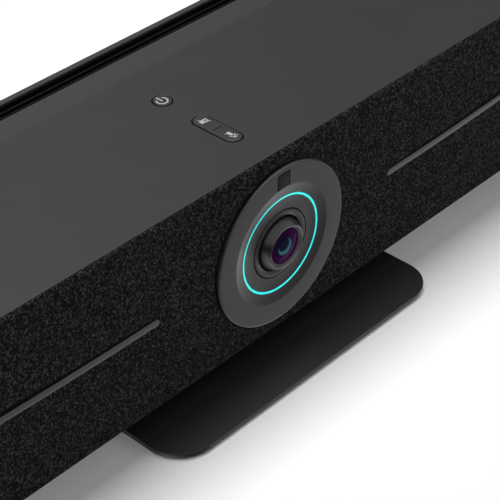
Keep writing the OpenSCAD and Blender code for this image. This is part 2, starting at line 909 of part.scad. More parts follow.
// A socket body standing on the main board, its mouth at the bay's rear wall
module at_socket(i) {
    at_bar() translate([socket_x(i) - socket_w[i] / 2, bar_d - bay_d, bay_z]) children();
}

// A square socket: a shell, its cavity and, where it has one, a tongue
module socket(i, length, wall, tongue) {
    w = socket_w[i];
    h = socket_h[i];
    at_socket(i) translate([0, -length, 0]) {
        difference() {
            cube([w, length, h]);
            translate([wall, wall, wall]) cube([w - 2 * wall, length, h - 2 * wall]);
        }
        if (tongue > 0)
            translate([w / 2 - tongue / 2, 0, h / 2 - wall / 2]) cube([tongue, length - over, wall]);
    }
}

// A round power socket with its centre pin
module power_socket() {
    mid = jack_side / 2;
    color("#18181a") at_socket(0) {
        difference() {
            translate([0, -jack_len, 0]) cube([jack_side, jack_len, jack_side]);
            translate([mid, over, mid]) rotate([90, 0, 0]) cylinder(h = jack_len, r = jack_bore_r);
        }
        translate([mid, -over, mid]) rotate([90, 0, 0]) cylinder(h = jack_len - over, r = jack_pin_r);
    }
}

module video_sockets() {
    color("#b8babc") for (i = [1, 2]) socket(i, video_len, socket_wall, video_tongue);
}

module usb_sockets() {
    color("#b8babc") {
        socket(3, usb_c_len, socket_wall, usb_c_tongue);
        for (i = [4, 5]) socket(i, usb_len, socket_wall, usb_tongue);
    }
}

module network_socket() {
    color("#b8babc") socket(6, network_len, network_wall, 0);
}

module speaker_box(side) {
    low = chassis_top();
    tall = top_in - box_top_gap - low;
    x0 = side > 0 ? box_x : -box_x - box_w;
    color("#202022") at_bar() difference() {
        translate([x0, box_front, low]) cube([box_w, box_d, tall]);
        translate([x0 + box_t, box_front + box_t, low + box_t])
            cube([box_w - 2 * box_t, box_d - 2 * box_t, tall - 2 * box_t]);
        translate([side * speaker_x, box_front - over, lens_z]) rotate([-90, 0, 0])
            cylinder(h = box_t + 2 * over, r = basket_r() + lie);
    }
}

// Outer radius of the basket behind its flange
function basket_r() = speaker_dia / 2 - basket_lap;

module speaker_basket(side) {
    color("#2e2e30") at_speaker(side) {
        rotate_extrude() translate([speaker_dia / 2 - flange_w, 0]) square([flange_w, flange_t]);
        translate([0, 0, basket_depth]) rotate_extrude()
            translate([coil_r + coil_gap, 0]) square([basket_r() - coil_r - coil_gap, basket_ring_t]);
        for (i = [0 : basket_legs - 1]) rotate((i + 1 / 2) * 360 / basket_legs)
            translate([basket_r() - leg_t, -leg_w / 2, flange_t / 2]) intersection() {
                cube([leg_t, leg_w, basket_depth]);
                translate([leg_t - basket_r(), leg_w / 2, 0]) cylinder(h = basket_depth, r = basket_r() - fit);
            }
    }
}

// Outer radius of the cone and inner radius of the surround
function cone_r() = speaker_dia / 2 - flange_w - 2 * roll_r + roll_foot;

module speaker_surround(side) {
    r_in = cone_r() + cone_gap;
    r_mid = r_in + roll_r;
    color("#121213") at_speaker(side) rotate_extrude() union() {
        intersection() {
            difference() {
                translate([r_mid, 0]) circle(roll_r);
                translate([r_mid, 0]) circle(roll_r - roll_t);
            }
            translate([r_in, -roll_r]) square([2 * roll_r, roll_r]);
        }
        translate([r_mid + roll_r - roll_t, -roll_t]) square([roll_foot, roll_t]);
    }
}

module speaker_cone(side) {
    neck = cone_front + cone_depth;
    color("#39393b") at_speaker(side) rotate_extrude() polygon(concat(
        [[cone_r(), cone_front], [cone_r(), cone_front + cone_t], [coil_r, neck + cone_t],
            [coil_r, coil_end], [coil_r - coil_t, coil_end], [coil_r - coil_t, neck]],
        [for (i = [0 : cap_steps]) let (a = 90 * i / cap_steps)
            [(coil_r - coil_t) * cos(a), neck - cone_t - cap_rise * sin(a)]],
        [[0, neck - 2 * cone_t - cap_rise]],
        [for (i = [1 : cap_steps]) let (a = 90 - 90 * i / cap_steps)
            [coil_r * cos(a), neck - 2 * cone_t - cap_rise * sin(a)]]));
}

module speaker_magnet(side) {
    front = basket_depth + basket_ring_t;
    color("#707274") at_speaker(side) translate([0, 0, front]) difference() {
        cylinder(h = magnet_t, r = magnet_r);
        translate([0, 0, -over]) difference() {
            cylinder(h = magnet_t - magnet_back + over, r = coil_r + coil_gap);
            cylinder(h = magnet_t, r = coil_r - coil_t - coil_gap);
        }
    }
}

function mic_x(i) = mic_start + mic_len * (i + 1 / 2) / mic_count;
function mic_z() = top_in - mic_drop - mic_board_h;

module microphones(side) {
    x0 = side > 0 ? mic_start : -mic_start - mic_len;
    color("#1c5a34") at_bar() {
        translate([x0, skin + lie, mic_z()]) cube([mic_len, mic_board_t, mic_board_h]);
        for (i = [0 : mic_count - 1])
            translate([side * mic_x(i) - mic_w / 2, skin + lie + mic_board_t, mic_z() + mic_board_h / 2 - mic_t])
                cube([mic_w, mic_t, 2 * mic_t]);
    }
}

module aerial(side) {
    x = bar_w / 2 - skin - lie - aerial_t;
    color("#1c5a34") at_bar() translate([side > 0 ? x : -x - aerial_t, aerial_y, aerial_z])
        cube([aerial_t, aerial_w, aerial_h]);
}

module wall_inserts() {
    color("#b08d4a") at_bar() at_wall_holes() difference() {
        cylinder(h = insert_len, r = insert_r);
        translate([0, 0, -over]) cylinder(h = insert_len + 2 * over, d = insert_bore);
    }
}

module cover_screws() {
    color("#6a6c6e") at_bar() at_cover_screws() {
        cylinder(h = m3_head_h, r = m3_head_r);
        cylinder(h = chassis_top(), r = m3_r);
    }
}

// Pillars between the chassis and the top cover, on both sides of each speaker box
module cover_pillars() {
    near = box_x - pillar_r - box_t;
    far = box_x + box_w + pillar_r + over;
    color("#8c8e90") at_bar() for (s = [-1, 1], x = [near, far], y = [pillar_front, crease_y - pillar_crease])
        translate([s * x, y, chassis_top()]) cylinder(h = top_in - chassis_top(), r = pillar_r);
}

module stand_screws() {
    color("#6a6c6e") translate([0, front_y, pad_t]) at_stand_screws() {
        cylinder(h = m4_head_h, r = m4_head_r);
        cylinder(h = foot_t + neck_h + chassis_top(), r = m4_r);
    }
}

// Places a shape at the neck's middle
module at_neck() {
    translate([0, front_y + neck_back + neck_d / 2, 0]) children();
}

module stand_neck() {
    color("#161617") difference() {
        union() {
            at_neck() translate([0, 0, pad_t + foot_t]) linear_extrude(neck_h) difference() {
                round_rect(neck_w, neck_d, neck_r);
                round_rect(neck_w - 2 * neck_wall, neck_d - 2 * neck_wall, neck_r - neck_wall);
            }
            translate([0, front_y, pad_t + foot_t]) at_stand_screws() cylinder(h = neck_h, r = neck_boss_r);
            at_neck() for (x = [-1, 1])
                translate([x * (neck_w / 2 - stand_screw_in) - neck_wall / 2, (neck_wall - neck_d) / 2,
                    pad_t + foot_t]) cube([neck_wall, neck_d - neck_wall, neck_h]);
        }
        translate([0, front_y, 0]) at_stand_screws() cylinder(h = bar_z + over, r = m4_r + lie);
    }
}

module foot_plate() {
    color("#161617") difference() {
        translate([0, 0, pad_t]) linear_extrude(foot_t) round_rect(foot_w, foot_d, foot_r);
        translate([0, front_y, 0]) at_stand_screws() {
            cylinder(h = bar_z, r = m4_r + lie);
            cylinder(h = pad_t + m4_head_h, r = m4_head_r + lie);
        }
    }
}

module foot_pad() {
    color("#0e0e0f") difference() {
        linear_extrude(pad_t) round_rect(foot_w - 2 * pad_in, foot_d - 2 * pad_in, foot_r - pad_in);
        translate([0, front_y, -over]) at_stand_screws() cylinder(h = pad_t + 2 * over, r = m4_head_r + pad_slot);
    }
}

front_fabric();
grille_carrier();
trim_strip(-1);  // trim_strip_left
trim_strip(1);  // trim_strip_right
camera_bezel();
light_ring();
lens_dish();
sensor_window();
lens_collar();
lens_barrel();
front_lens();
inner_lenses();
lens_holder();
image_sensor();
sensor_board();
ring_board();
camera_bracket();
top_cover();
power_button();
rocker_key();
key_carrier();
key_board();
key_switches();
vent_grille();
rear_cover();
bottom_cover();
chassis();
main_board();
processor();
heat_sink();
power_socket();
video_sockets();
usb_sockets();
network_socket();
speaker_box(-1);  // speaker_box_left
speaker_box(1);  // speaker_box_right
speaker_basket(-1);  // speaker_basket_left
speaker_basket(1);  // speaker_basket_right
speaker_surround(-1);  // speaker_surround_left
speaker_surround(1);  // speaker_surround_right
speaker_cone(-1);  // speaker_cone_left
speaker_cone(1);  // speaker_cone_right
speaker_magnet(-1);  // speaker_magnet_left
speaker_magnet(1);  // speaker_magnet_right
microphones(-1);  // microphones_left
microphones(1);  // microphones_right
aerial(-1);  // aerial_left
aerial(1);  // aerial_right
wall_inserts();
cover_pillars();
cover_screws();
stand_screws();
stand_neck();
foot_plate();
foot_pad();
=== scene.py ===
import json
import math

import bmesh
import bpy
from mathutils import Matrix, Vector, geometry

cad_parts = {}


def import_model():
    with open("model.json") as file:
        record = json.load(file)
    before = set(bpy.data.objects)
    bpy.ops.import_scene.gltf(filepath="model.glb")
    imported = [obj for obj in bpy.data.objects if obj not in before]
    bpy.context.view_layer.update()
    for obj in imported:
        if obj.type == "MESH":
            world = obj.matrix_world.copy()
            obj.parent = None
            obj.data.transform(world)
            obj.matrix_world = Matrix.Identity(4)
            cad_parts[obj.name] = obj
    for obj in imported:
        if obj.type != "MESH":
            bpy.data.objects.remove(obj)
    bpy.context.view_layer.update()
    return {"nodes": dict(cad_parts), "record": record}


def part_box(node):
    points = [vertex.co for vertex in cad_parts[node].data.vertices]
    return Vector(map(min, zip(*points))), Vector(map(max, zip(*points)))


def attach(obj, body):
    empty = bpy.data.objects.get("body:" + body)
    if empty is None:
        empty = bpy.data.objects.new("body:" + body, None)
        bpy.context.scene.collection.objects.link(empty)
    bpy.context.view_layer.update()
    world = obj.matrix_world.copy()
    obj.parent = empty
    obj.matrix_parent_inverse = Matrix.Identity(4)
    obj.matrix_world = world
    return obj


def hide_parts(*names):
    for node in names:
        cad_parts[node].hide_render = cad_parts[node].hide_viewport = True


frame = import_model()
NODES = frame["nodes"]
ROOT = "camera_bar"

# Sizes in metres, as in the part's source
BAR_W, BAR_H = 0.640, 0.096
CORNER_R, EDGE_R = 0.020, 0.002
RETURN_Y = 0.060
FRONT_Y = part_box("front_fabric")[0].y
BAR_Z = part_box("front_fabric")[0].z
LENS_Z = BAR_Z + BAR_H / 2
DISC_R, HOLE_R, DISC_PROUD = 0.041, 0.0396, 0.00175
STRIP_Z, STRIP_H, STRIP_PROUD, STRIP_BACK, STRIP_EDGE = LENS_Z, 0.0032, 0.0004, -0.0008, 0.0003
STRIP_START, STRIP_STOP = 0.076, 0.284

# Camera, solved from the photograph's bezel and parallel edges
VIEW_TURN, VIEW_LIFT, VIEW_ROLL = -48.0038, 36.5242, 0.68844  # degrees
VIEW_LENS, SENSOR_W = 124.5176, 36  # millimetres
VIEW_FROM = (-11.460803, -9.852725, 11.105590)  # in disc radii, from the middle of the disc's face
HALF_PIXEL = 0.001  # of a picture 500 pixels wide


def set_camera():
    """The photograph's view."""
    turn, lift, roll = (math.radians(a) for a in (VIEW_TURN, VIEW_LIFT, VIEW_ROLL))
    back = Vector((math.sin(turn) * math.cos(lift), -math.cos(turn) * math.cos(lift), math.sin(lift)))
    right = Vector((math.cos(turn), math.sin(turn), 0))
    up = back.cross(right)
    across = right * math.cos(roll) + up * math.sin(roll)
    upward = up * math.cos(roll) - right * math.sin(roll)
    data = bpy.data.cameras.new("view")
    data.lens, data.sensor_width = VIEW_LENS, SENSOR_W
    data.clip_start, data.clip_end = 0.01, 50
    data.shift_x, data.shift_y = -HALF_PIXEL, HALF_PIXEL
    cam = bpy.data.objects.new("view", data)
    bpy.context.scene.collection.objects.link(cam)
    axes = Matrix((across, upward, back)).transposed()
    disc_face = Vector((0, FRONT_Y - DISC_PROUD, LENS_Z))
    cam.matrix_world = Matrix.Translation(Vector(VIEW_FROM) * DISC_R + disc_face) @ axes.to_4x4()
    bpy.context.scene.camera = cam


# Node helpers
def new_material(name):
    """An empty node material, with its tree and its output."""
    m = bpy.data.materials.new(name)
    m.use_nodes = True
    nt = m.node_tree
    nt.nodes.clear()
    out = nt.nodes.new("ShaderNodeOutputMaterial")
    return m, nt, out


def node(nt, kind, values=None, **props):
    """A node of a kind, with its inputs' values and its own properties set."""
    n = nt.nodes.new(kind)
    for k, v in props.items():
        setattr(n, k, v)
    for k, v in (values or {}).items():
        n.inputs[k].default_value = v
    return n


def math_node(nt, op, a, b=None, c=None, clamp=False):
    """Arithmetic on numbers or sockets."""
    n = nt.nodes.new("ShaderNodeMath")
    n.operation = op
    n.use_clamp = clamp
    for i, x in enumerate((a, b, c)):
        if x is None:
            continue
        if isinstance(x, (int, float)):
            n.inputs[i].default_value = x
        else:
            nt.links.new(x, n.inputs[i])
    return n.outputs[0]


def mix_color(nt, fac, a, b, blend="MIX"):
    """Colour a where fac is 0 and b where it is 1. Each is a number, a colour or a socket."""
    n = nt.nodes.new("ShaderNodeMix")
    n.data_type = "RGBA"
    n.blend_type = blend
    for i, x in ((0, fac), (6, a), (7, b)):
        if isinstance(x, (int, float)):
            n.inputs[i].default_value = x
        elif isinstance(x, (tuple, list)):
            n.inputs[i].default_value = (*x[:3], 1)
        else:
            nt.links.new(x, n.inputs[i])
    return n.outputs[2]


def mix_shader(nt, fac, a, b):
    """Shader a where fac is 0 and b where it is 1."""
    n = nt.nodes.new("ShaderNodeMixShader")
    for i, x in enumerate((fac, a, b)):
        nt.links.new(x, n.inputs[i])
    return n.outputs[0]


def ramp(nt, fac, stops):
    """Turns the range stops[0] into the range stops[1], without going past its ends."""
    n = nt.nodes.new("ShaderNodeMapRange")
    n.clamp = True
    n.inputs["From Min"].default_value, n.inputs["From Max"].default_value = stops[0]
    n.inputs["To Min"].default_value, n.inputs["To Max"].default_value = stops[1]
    nt.links.new(fac, n.inputs["Value"])
    return n.outputs[0]


def place(nt, scale=(1, 1, 1)):
    """Coordinates in metres, stretched by scale."""
    c = nt.nodes.new("ShaderNodeTexCoord")
    m = nt.nodes.new("ShaderNodeMapping")
    m.inputs["Scale"].default_value = scale
    nt.links.new(c.outputs["Object"], m.inputs["Vector"])
    return m.outputs[0]


def noise(nt, vec, scale, detail, rough):
    """Smooth noise from 0 to 1, scale times per metre."""
    n = node(nt, "ShaderNodeTexNoise", {"Scale": scale, "Detail": detail, "Roughness": rough})
    nt.links.new(vec, n.inputs["Vector"])
    return n.outputs[0]


def bump(nt, height, strength, distance):
    """A normal roughened by height, distance metres deep."""
    b = node(nt, "ShaderNodeBump", {"Strength": strength, "Distance": distance})
    nt.links.new(height, b.inputs["Height"])
    return b.outputs[0]


def shade(color, k):
    """A colour made k times as bright."""
    return tuple(min(1, c * k) for c in color[:3])


def principled(nt, out, color, rough, normal=None, **values):
    """The surface shader, joined to the output."""
    p = nt.nodes.new("ShaderNodeBsdfPrincipled")
    if isinstance(color, (tuple, list)):
        p.inputs["Base Color"].default_value = (*color[:3], 1)
    else:
        nt.links.new(color, p.inputs["Base Color"])
    if isinstance(rough, (int, float)):
        p.inputs["Roughness"].default_value = rough
    else:
        nt.links.new(rough, p.inputs["Roughness"])
    if normal is not None:
        nt.links.new(normal, p.inputs["Normal"])
    for k, v in values.items():
        p.inputs[k.replace("_", " ")].default_value = v
    nt.links.new(p.outputs[0], out.inputs["Surface"])
    return p


def edge_wear(nt, amount):
    """A mask that is amount on sharp convex edges, broken up by noise."""
    g = nt.nodes.new("ShaderNodeNewGeometry")
    n = noise(nt, place(nt), 220, 4, 0.7)
    m = ramp(nt, g.outputs["Pointiness"], ((0.515, 0.60), (0, amount)))
    return math_node(nt, "MULTIPLY", m, ramp(nt, n, ((0.35, 0.7), (0.2, 1))), clamp=True)


def plastic(name, color, rough, grain=2600, depth=0.00002, spec=0.5, worn=1.35):
    """Moulded plastic: fine spark grain, slow variation in colour and gloss, rubbed edges.

    grain is its number per metre, depth its height and worn how much brighter an edge is."""
    m, nt, out = new_material(name)
    vec = place(nt)
    fine = noise(nt, vec, grain, 2, 0.6)
    v = node(nt, "ShaderNodeTexVoronoi", {"Scale": grain * 0.45})
    nt.links.new(vec, v.inputs["Vector"])
    slow = noise(nt, vec, 14, 4, 0.6)
    smudge = noise(nt, vec, 55, 5, 0.7)
    base = mix_color(nt, ramp(nt, slow, ((0.3, 0.7), (0, 1))), shade(color, 0.97), shade(color, 1.03))
    base = mix_color(nt, ramp(nt, fine, ((0.35, 0.65), (0, 0.5))), base, shade(color, 1.12))
    base = mix_color(nt, edge_wear(nt, 0.5), base, shade(color, worn))
    r = ramp(nt, smudge, ((0.3, 0.75), (rough - 0.012, rough + 0.016)))
    height = math_node(nt, "ADD", fine, math_node(nt, "MULTIPLY", v.outputs["Distance"], 0.6))
    principled(nt, out, base, r, bump(nt, height, 0.35, depth), Specular_IOR_Level=spec)
    return m


def metal(name, color, rough, stretch=(1, 60, 60), metallic=1.0):
    """Brushed or turned metal: streaks along one axis, slow stains, brighter rubbed edges."""
    m, nt, out = new_material(name)
    streak = noise(nt, place(nt, stretch), 90, 6, 0.65)
    slow = noise(nt, place(nt), 40, 4, 0.6)
    base = mix_color(nt, ramp(nt, streak, ((0.3, 0.7), (0, 1))), shade(color, 0.85), shade(color, 1.08))
    base = mix_color(nt, ramp(nt, slow, ((0.4, 0.8), (0, 0.4))), base, shade(color, 0.7))
    base = mix_color(nt, edge_wear(nt, 0.6), base, shade(color, 1.4))
    r = ramp(nt, streak, ((0.3, 0.7), (rough - 0.07, rough + 0.1)))
    principled(nt, out, base, r, bump(nt, streak, 0.25, 0.00001), Metallic=metallic)
    return m


WALE, COURSE = 0.00074, 0.00066  # width and height of a stitch


def knit(name, light, dark):
    """Fine knitted cloth: columns of V stitches that follow the cloth's own coordinates."""
    m, nt, out = new_material(name)
    a = node(nt, "ShaderNodeAttribute", attribute_name="cloth")
    s = nt.nodes.new("ShaderNodeSeparateXYZ")
    nt.links.new(a.outputs["Vector"], s.inputs[0])
    u = math_node(nt, "DIVIDE", s.outputs[0], WALE)
    v = math_node(nt, "DIVIDE", s.outputs[1], COURSE)
    across = math_node(nt, "ABSOLUTE", math_node(nt, "SUBTRACT", math_node(nt, "FRACT", u), 0.5))
    slant = math_node(nt, "MULTIPLY_ADD", across, 1.3, v)
    loop = math_node(nt, "COSINE", math_node(nt, "MULTIPLY", slant, 2 * math.pi))
    loop = math_node(nt, "MULTIPLY_ADD", loop, 0.5, 0.5)
    leg = math_node(nt, "SINE", math_node(nt, "MULTIPLY", across, 2 * math.pi))
    height = math_node(nt, "MULTIPLY", loop, math_node(nt, "POWER", leg, 0.6))
    cell = nt.nodes.new("ShaderNodeCombineXYZ")
    nt.links.new(math_node(nt, "FLOOR", u), cell.inputs[0])
    nt.links.new(math_node(nt, "FLOOR", slant), cell.inputs[1])
    chance = nt.nodes.new("ShaderNodeTexWhiteNoise")
    nt.links.new(cell.outputs[0], chance.inputs["Vector"])
    wool = noise(nt, a.outputs["Vector"], 1900, 2, 0.6)
    drift = noise(nt, a.outputs["Vector"], 60, 4, 0.6)
    # Painted shade: the colour goes dark in the low gaps between the loops and stays light on their tops
    yarn = mix_color(nt, ramp(nt, height, ((0.10, 0.55), (0, 1))), dark, light)
    # Painted glints: a few stitches are painted brighter, as if they caught the light, and most stay dark
    lit = math_node(nt, "MULTIPLY_ADD", math_node(nt, "POWER", chance.outputs[0], 4.0), 15.5, 0.01)
    yarn = mix_color(nt, 1.0, yarn, lit, "MULTIPLY")
    yarn = mix_color(nt, ramp(nt, wool, ((0.56, 0.68), (0, 0.8))), yarn, shade(light, 4.0))
    yarn = mix_color(nt, ramp(nt, drift, ((0.35, 0.7), (0, 0.12))), yarn, shade(light, 0.5))
    full = math_node(nt, "ADD", height, math_node(nt, "MULTIPLY", wool, 0.5))
    p = principled(nt, out, yarn, 0.95, bump(nt, full, 0.9, 0.00030), Specular_IOR_Level=0.05)
    p.inputs["Sheen Weight"].default_value = 0.015
    p.inputs["Sheen Roughness"].default_value = 0.5
    return m


def board(name):
    """Solder mask over copper tracks, with tinned pads."""
    m, nt, out = new_material(name)
    vec = place(nt)
    layout = {"Scale": 260, "Mortar Size": 0.035, "Brick Width": 0.9, "Row Height": 0.22}
    b = node(nt, "ShaderNodeTexBrick", layout, offset=0.37, squash=1.4, squash_frequency=3)
    nt.links.new(vec, b.inputs["Vector"])
    v = node(nt, "ShaderNodeTexVoronoi", {"Scale": 330}, feature="F1")
    nt.links.new(vec, v.inputs["Vector"])
    slow = noise(nt, vec, 45, 4, 0.6)
    mask = mix_color(nt, ramp(nt, slow, ((0.3, 0.7), (0, 1))), (0.012, 0.085, 0.035), (0.02, 0.12, 0.05))
    base = mix_color(nt, b.outputs["Fac"], mask, (0.05, 0.20, 0.07))
    pads = ramp(nt, v.outputs["Distance"], ((0.10, 0.13), (1, 0)))
    base = mix_color(nt, pads, base, (0.55, 0.56, 0.52))
    r = ramp(nt, pads, ((0, 1), (0.38, 0.25)))
    height = math_node(nt, "ADD", b.outputs["Fac"], pads)
    principled(nt, out, base, r, bump(nt, height, 0.3, 0.00003), Specular_IOR_Level=0.5)
    return m


def rubber(name, color):
    """Soft moulded rubber with dust in its pores."""
    m, nt, out = new_material(name)
    vec = place(nt)
    fine = noise(nt, vec, 1400, 4, 0.7)
    dust = noise(nt, vec, 90, 6, 0.75)
    base = mix_color(nt, ramp(nt, dust, ((0.5, 0.85), (0, 0.5))), color, shade(color, 3))
    rough = ramp(nt, dust, ((0.3, 0.8), (0.75, 0.95)))
    principled(nt, out, base, rough, bump(nt, fine, 0.5, 0.00005), Specular_IOR_Level=0.3)
    return m


RING_LAMPS = 24


def glow(name):
    """A diffuser lit from behind by lamps: slightly brighter over each lamp."""
    m, nt, out = new_material(name)
    c = nt.nodes.new("ShaderNodeTexCoord")
    s = nt.nodes.new("ShaderNodeSeparateXYZ")
    nt.links.new(c.outputs["Object"], s.inputs[0])
    z = math_node(nt, "SUBTRACT", s.outputs[2], LENS_Z)
    angle = math_node(nt, "ARCTAN2", z, s.outputs[0])
    lamp = math_node(nt, "COSINE", math_node(nt, "MULTIPLY", angle, RING_LAMPS))
    level = ramp(nt, lamp, ((-1, 1), (0.86, 1.0)))
    color = mix_color(nt, level, (0.0, 0.0, 0.0), (0.014, 0.74, 0.72))
    frost = noise(nt, place(nt), 1500, 3, 0.6)
    p = principled(nt, out, (0.02, 0.35, 0.34), 0.45, bump(nt, frost, 0.2, 0.00002))
    nt.links.new(color, p.inputs["Emission Color"])
    p.inputs["Emission Strength"].default_value = 1.0
    return m


def coated_glass(name):
    """The front lens: a violet coating under a clear surface, with painted shade for its dark throat and a
    painted reflection for its teal arc.

    The arc lies between two circles whose middles are apart, so that it tapers at both ends."""
    m, nt, out = new_material(name)
    c = nt.nodes.new("ShaderNodeTexCoord")
    s = nt.nodes.new("ShaderNodeSeparateXYZ")
    nt.links.new(c.outputs["Object"], s.inputs[0])
    x, z = s.outputs[0], math_node(nt, "SUBTRACT", s.outputs[2], LENS_Z)

    def radius(dx, dz):
        a = math_node(nt, "ADD", x, -dx)
        b = math_node(nt, "ADD", z, -dz)
        squares = math_node(nt, "ADD", math_node(nt, "MULTIPLY", a, a), math_node(nt, "MULTIPLY", b, b))
        return math_node(nt, "SQRT", squares)

    outward = ramp(nt, radius(0, 0), ((0.0015, 0.0085), (0, 1)))
    coat = mix_color(nt, outward, (0.030, 0.006, 0.045), (0.030, 0.0015, 0.036))
    # Painted shade: the dark throat, a patch up and left of the middle where the lens's inside lies in
    # shade
    throat = ramp(nt, radius(-0.0020, 0.0020), ((0.0034, 0.0068), (1, 0)))
    base = mix_color(nt, throat, coat, (0.006, 0.006, 0.018))
    # Painted reflection: the teal arc on the coating
    outer = ramp(nt, radius(-0.00075, 0.0004), ((0.0040, 0.0044), (1, 0)))
    inner = ramp(nt, radius(-0.0014, 0.0019), ((0.0030, 0.0041), (0.03, 1)))
    arc = math_node(nt, "MULTIPLY", outer, inner, clamp=True)
    base = mix_color(nt, arc, base, (0.040, 0.150, 0.190))
    haze = noise(nt, place(nt), 300, 3, 0.6)
    rough = ramp(nt, haze, ((0.3, 0.8), (0.05, 0.09)))
    p = principled(nt, out, base, rough, Specular_IOR_Level=0.018)
    p.inputs["Specular Tint"].default_value = (0.6, 0.02, 0.7, 1)
    return m


MATS = {
    "knit": knit("knit_cloth", (0.0098, 0.0098, 0.0100), (0.0015, 0.0015, 0.0016)),
    "grey_plastic": plastic("grey_plastic", (0.031, 0.031, 0.0314), 0.31),
    "dark_plastic": plastic("dark_plastic", (0.006, 0.006, 0.0062), 0.5, spec=0.3),
    "trim": plastic("trim_paint", (0.050, 0.050, 0.0505), 0.32, 3200),
    "lens_ring": plastic("lens_ring_paint", (0.10, 0.10, 0.101), 0.34, 3200, 0.000004),
    "glow": glow("ring_diffuser"),
    "smoked": plastic("smoked_window", (0.0165, 0.0165, 0.017), 0.42, 900, 0.000002, 0.08, 1.1),
    "barrel_paint": plastic("barrel_paint", (0.014, 0.014, 0.0142), 0.32, 3000, 0.00001),
    "coated_glass": coated_glass("front_glass"),
    "clear_glass": plastic("inner_glass", (0.012, 0.020, 0.030), 0.08, 800, 0.000001, 0.6, 1.1),
    "bright_steel": metal("bright_steel", (0.50, 0.51, 0.52), 0.32),
    "bare_aluminium": metal("bare_aluminium", (0.60, 0.61, 0.62), 0.36, (60, 1, 60)),
    "board": board("circuit_board"),
    "chip": plastic("chip_body", (0.012, 0.012, 0.013), 0.55, 1800),
    "socket_steel": metal("socket_steel", (0.48, 0.48, 0.49), 0.28, (60, 1, 60)),
    "cone": rubber("pressed_pulp", (0.030, 0.030, 0.031)),
    "soft_rubber": rubber("soft_rubber", (0.012, 0.012, 0.012)),
    "magnet": metal("magnet_plating", (0.22, 0.22, 0.23), 0.45, (1, 1, 1), 0.7),
    "black_steel": plastic("powder_coat", (0.0105, 0.0105, 0.0107), 0.42, 1500, 0.00003, 0.5, 1.6),
    # Near-black sheet material: painted shade in the strips' slots and in the vent
    "slot_shade": plastic("slot_shade", (0.0012, 0.0012, 0.0012), 0.7, 1800, 0.00002, 0.08, 1.1),
    "print": plastic("white_print", (0.40, 0.40, 0.40), 0.6, 4000, 0.000004, 0.3, 1.0),
    "brass": metal("brass", (0.60, 0.42, 0.17), 0.3, (60, 1, 60)),
}


# Meshes
def finish_mesh(bm, name, material, body, nodes=(), sharp=35):
    """Makes the piece, on its body and slot, in place of the CAD nodes it stands for."""
    bmesh.ops.recalc_face_normals(bm, faces=bm.faces)
    me = bpy.data.meshes.new(name)
    bm.to_mesh(me)
    bm.free()
    ob = bpy.data.objects.new(name, me)
    bpy.context.scene.collection.objects.link(ob)
    me.materials.append(material)
    me.shade_smooth()
    me.set_sharp_from_angle(angle=math.radians(sharp))
    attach(ob, body)
    if nodes:
        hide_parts(*nodes)
    return ob


def circle(cx, cy, r, n):
    """Points of a circle, anticlockwise."""
    turns = [2 * math.pi * i / n for i in range(n)]
    return [(cx + r * math.cos(a), cy + r * math.sin(a)) for a in turns]


def arc_points(cx, cy, r, a0, a1, n):
    """Points of an arc from a0 to a1 degrees, in n steps."""
    turns = [math.radians(a0 + (a1 - a0) * i / n) for i in range(n + 1)]
    return [(cx + r * math.cos(a), cy + r * math.sin(a)) for a in turns]


def round_rect(cx, cy, w, h, r, n=8):
    """Points of a rectangle with round corners, anticlockwise."""
    pts = []
    for k, (sx, sy) in enumerate(((1, 1), (-1, 1), (-1, -1), (1, -1))):
        ox, oy = cx + sx * (w / 2 - r), cy + sy * (h / 2 - r)
        for i in range(n + 1):
            a = math.pi / 2 * (k + i / n)
            pts.append((ox + r * math.cos(a), oy + r * math.sin(a)))
    return pts


def pill(cx, cy, w, h, n=14):
    """A slot's outline. Its ends are just short of half circles, so that no two points fall together."""
    return round_rect(cx, cy, w, h, min(w, h) / 2 * 0.999, n)


def inside(p, loop):
    """Whether point p lies in the loop, by counting the edges to its right."""
    hit = False
    for (x0, y0), (x1, y1) in zip(loop, loop[1:] + loop[:1]):
        if (y0 > p[1]) != (y1 > p[1]) and p[0] < (x1 - x0) * (p[1] - y0) / (y1 - y0) + x0:
            hit = not hit
    return hit


def fill(bm, lift, outer, holes):
    """Flat face between an outline and its holes. lift turns a 2-D point into a place."""
    pts, edges = [], []
    for loop in (outer, *holes):
        first = len(pts)
        pts += [Vector(p) for p in loop]
        edges += [(first + i, first + (i + 1) % len(loop)) for i in range(len(loop))]
    face = list(range(len(outer)))
    vs, _, fs, _, _, _ = geometry.delaunay_2d_cdt(pts, edges, [face], 1, 1e-9)
    made = [bm.verts.new(lift(*v)) for v in vs]
    for f in fs:
        mid = sum((Vector(vs[i]) for i in f), Vector((0, 0))) / len(f)
        if not any(inside(mid, h) for h in holes):
            bm.faces.new([made[i] for i in f])


def bands(bm, rings, closed=True):
    """Quads between rings of equal length, or between open rows."""
    made = [[bm.verts.new(p) for p in ring] for ring in rings]
    n = len(rings[0])
    for a, b in zip(made, made[1:]):
        for i in range(n if closed else n - 1):
            j = (i + 1) % n
            bm.faces.new((a[i], a[j], b[j], b[i]))


def weld(bm, reach=0.000002):
    """Joins points closer than reach, in metres."""
    bmesh.ops.remove_doubles(bm, verts=bm.verts, dist=reach)


def on_front(depth):
    """Places a 2-D point (x, z) on the front, a depth behind the cloth's plane."""
    return lambda x, z: (x, FRONT_Y + depth, z)


def at_height(z):
    """Places a 2-D point (x, y) at height z."""
    return lambda x, y: (x, y, z)


def lathe(profile, n=160):
    """Rings round the lens axis. The profile gives radius and height forward of the cloth."""
    return [[(r * math.cos(2 * math.pi * i / n), FRONT_Y - h, LENS_Z + r * math.sin(2 * math.pi * i / n))
             for i in range(n)] for r, h in profile]


def turned(name, profile, material, node_name, sharp=35):
    """A piece of revolution about the lens axis, from a closed profile."""
    bm = bmesh.new()
    bands(bm, lathe(profile + profile[:1]))
    weld(bm)
    finish_mesh(bm, name, material, ROOT, [node_name], sharp)


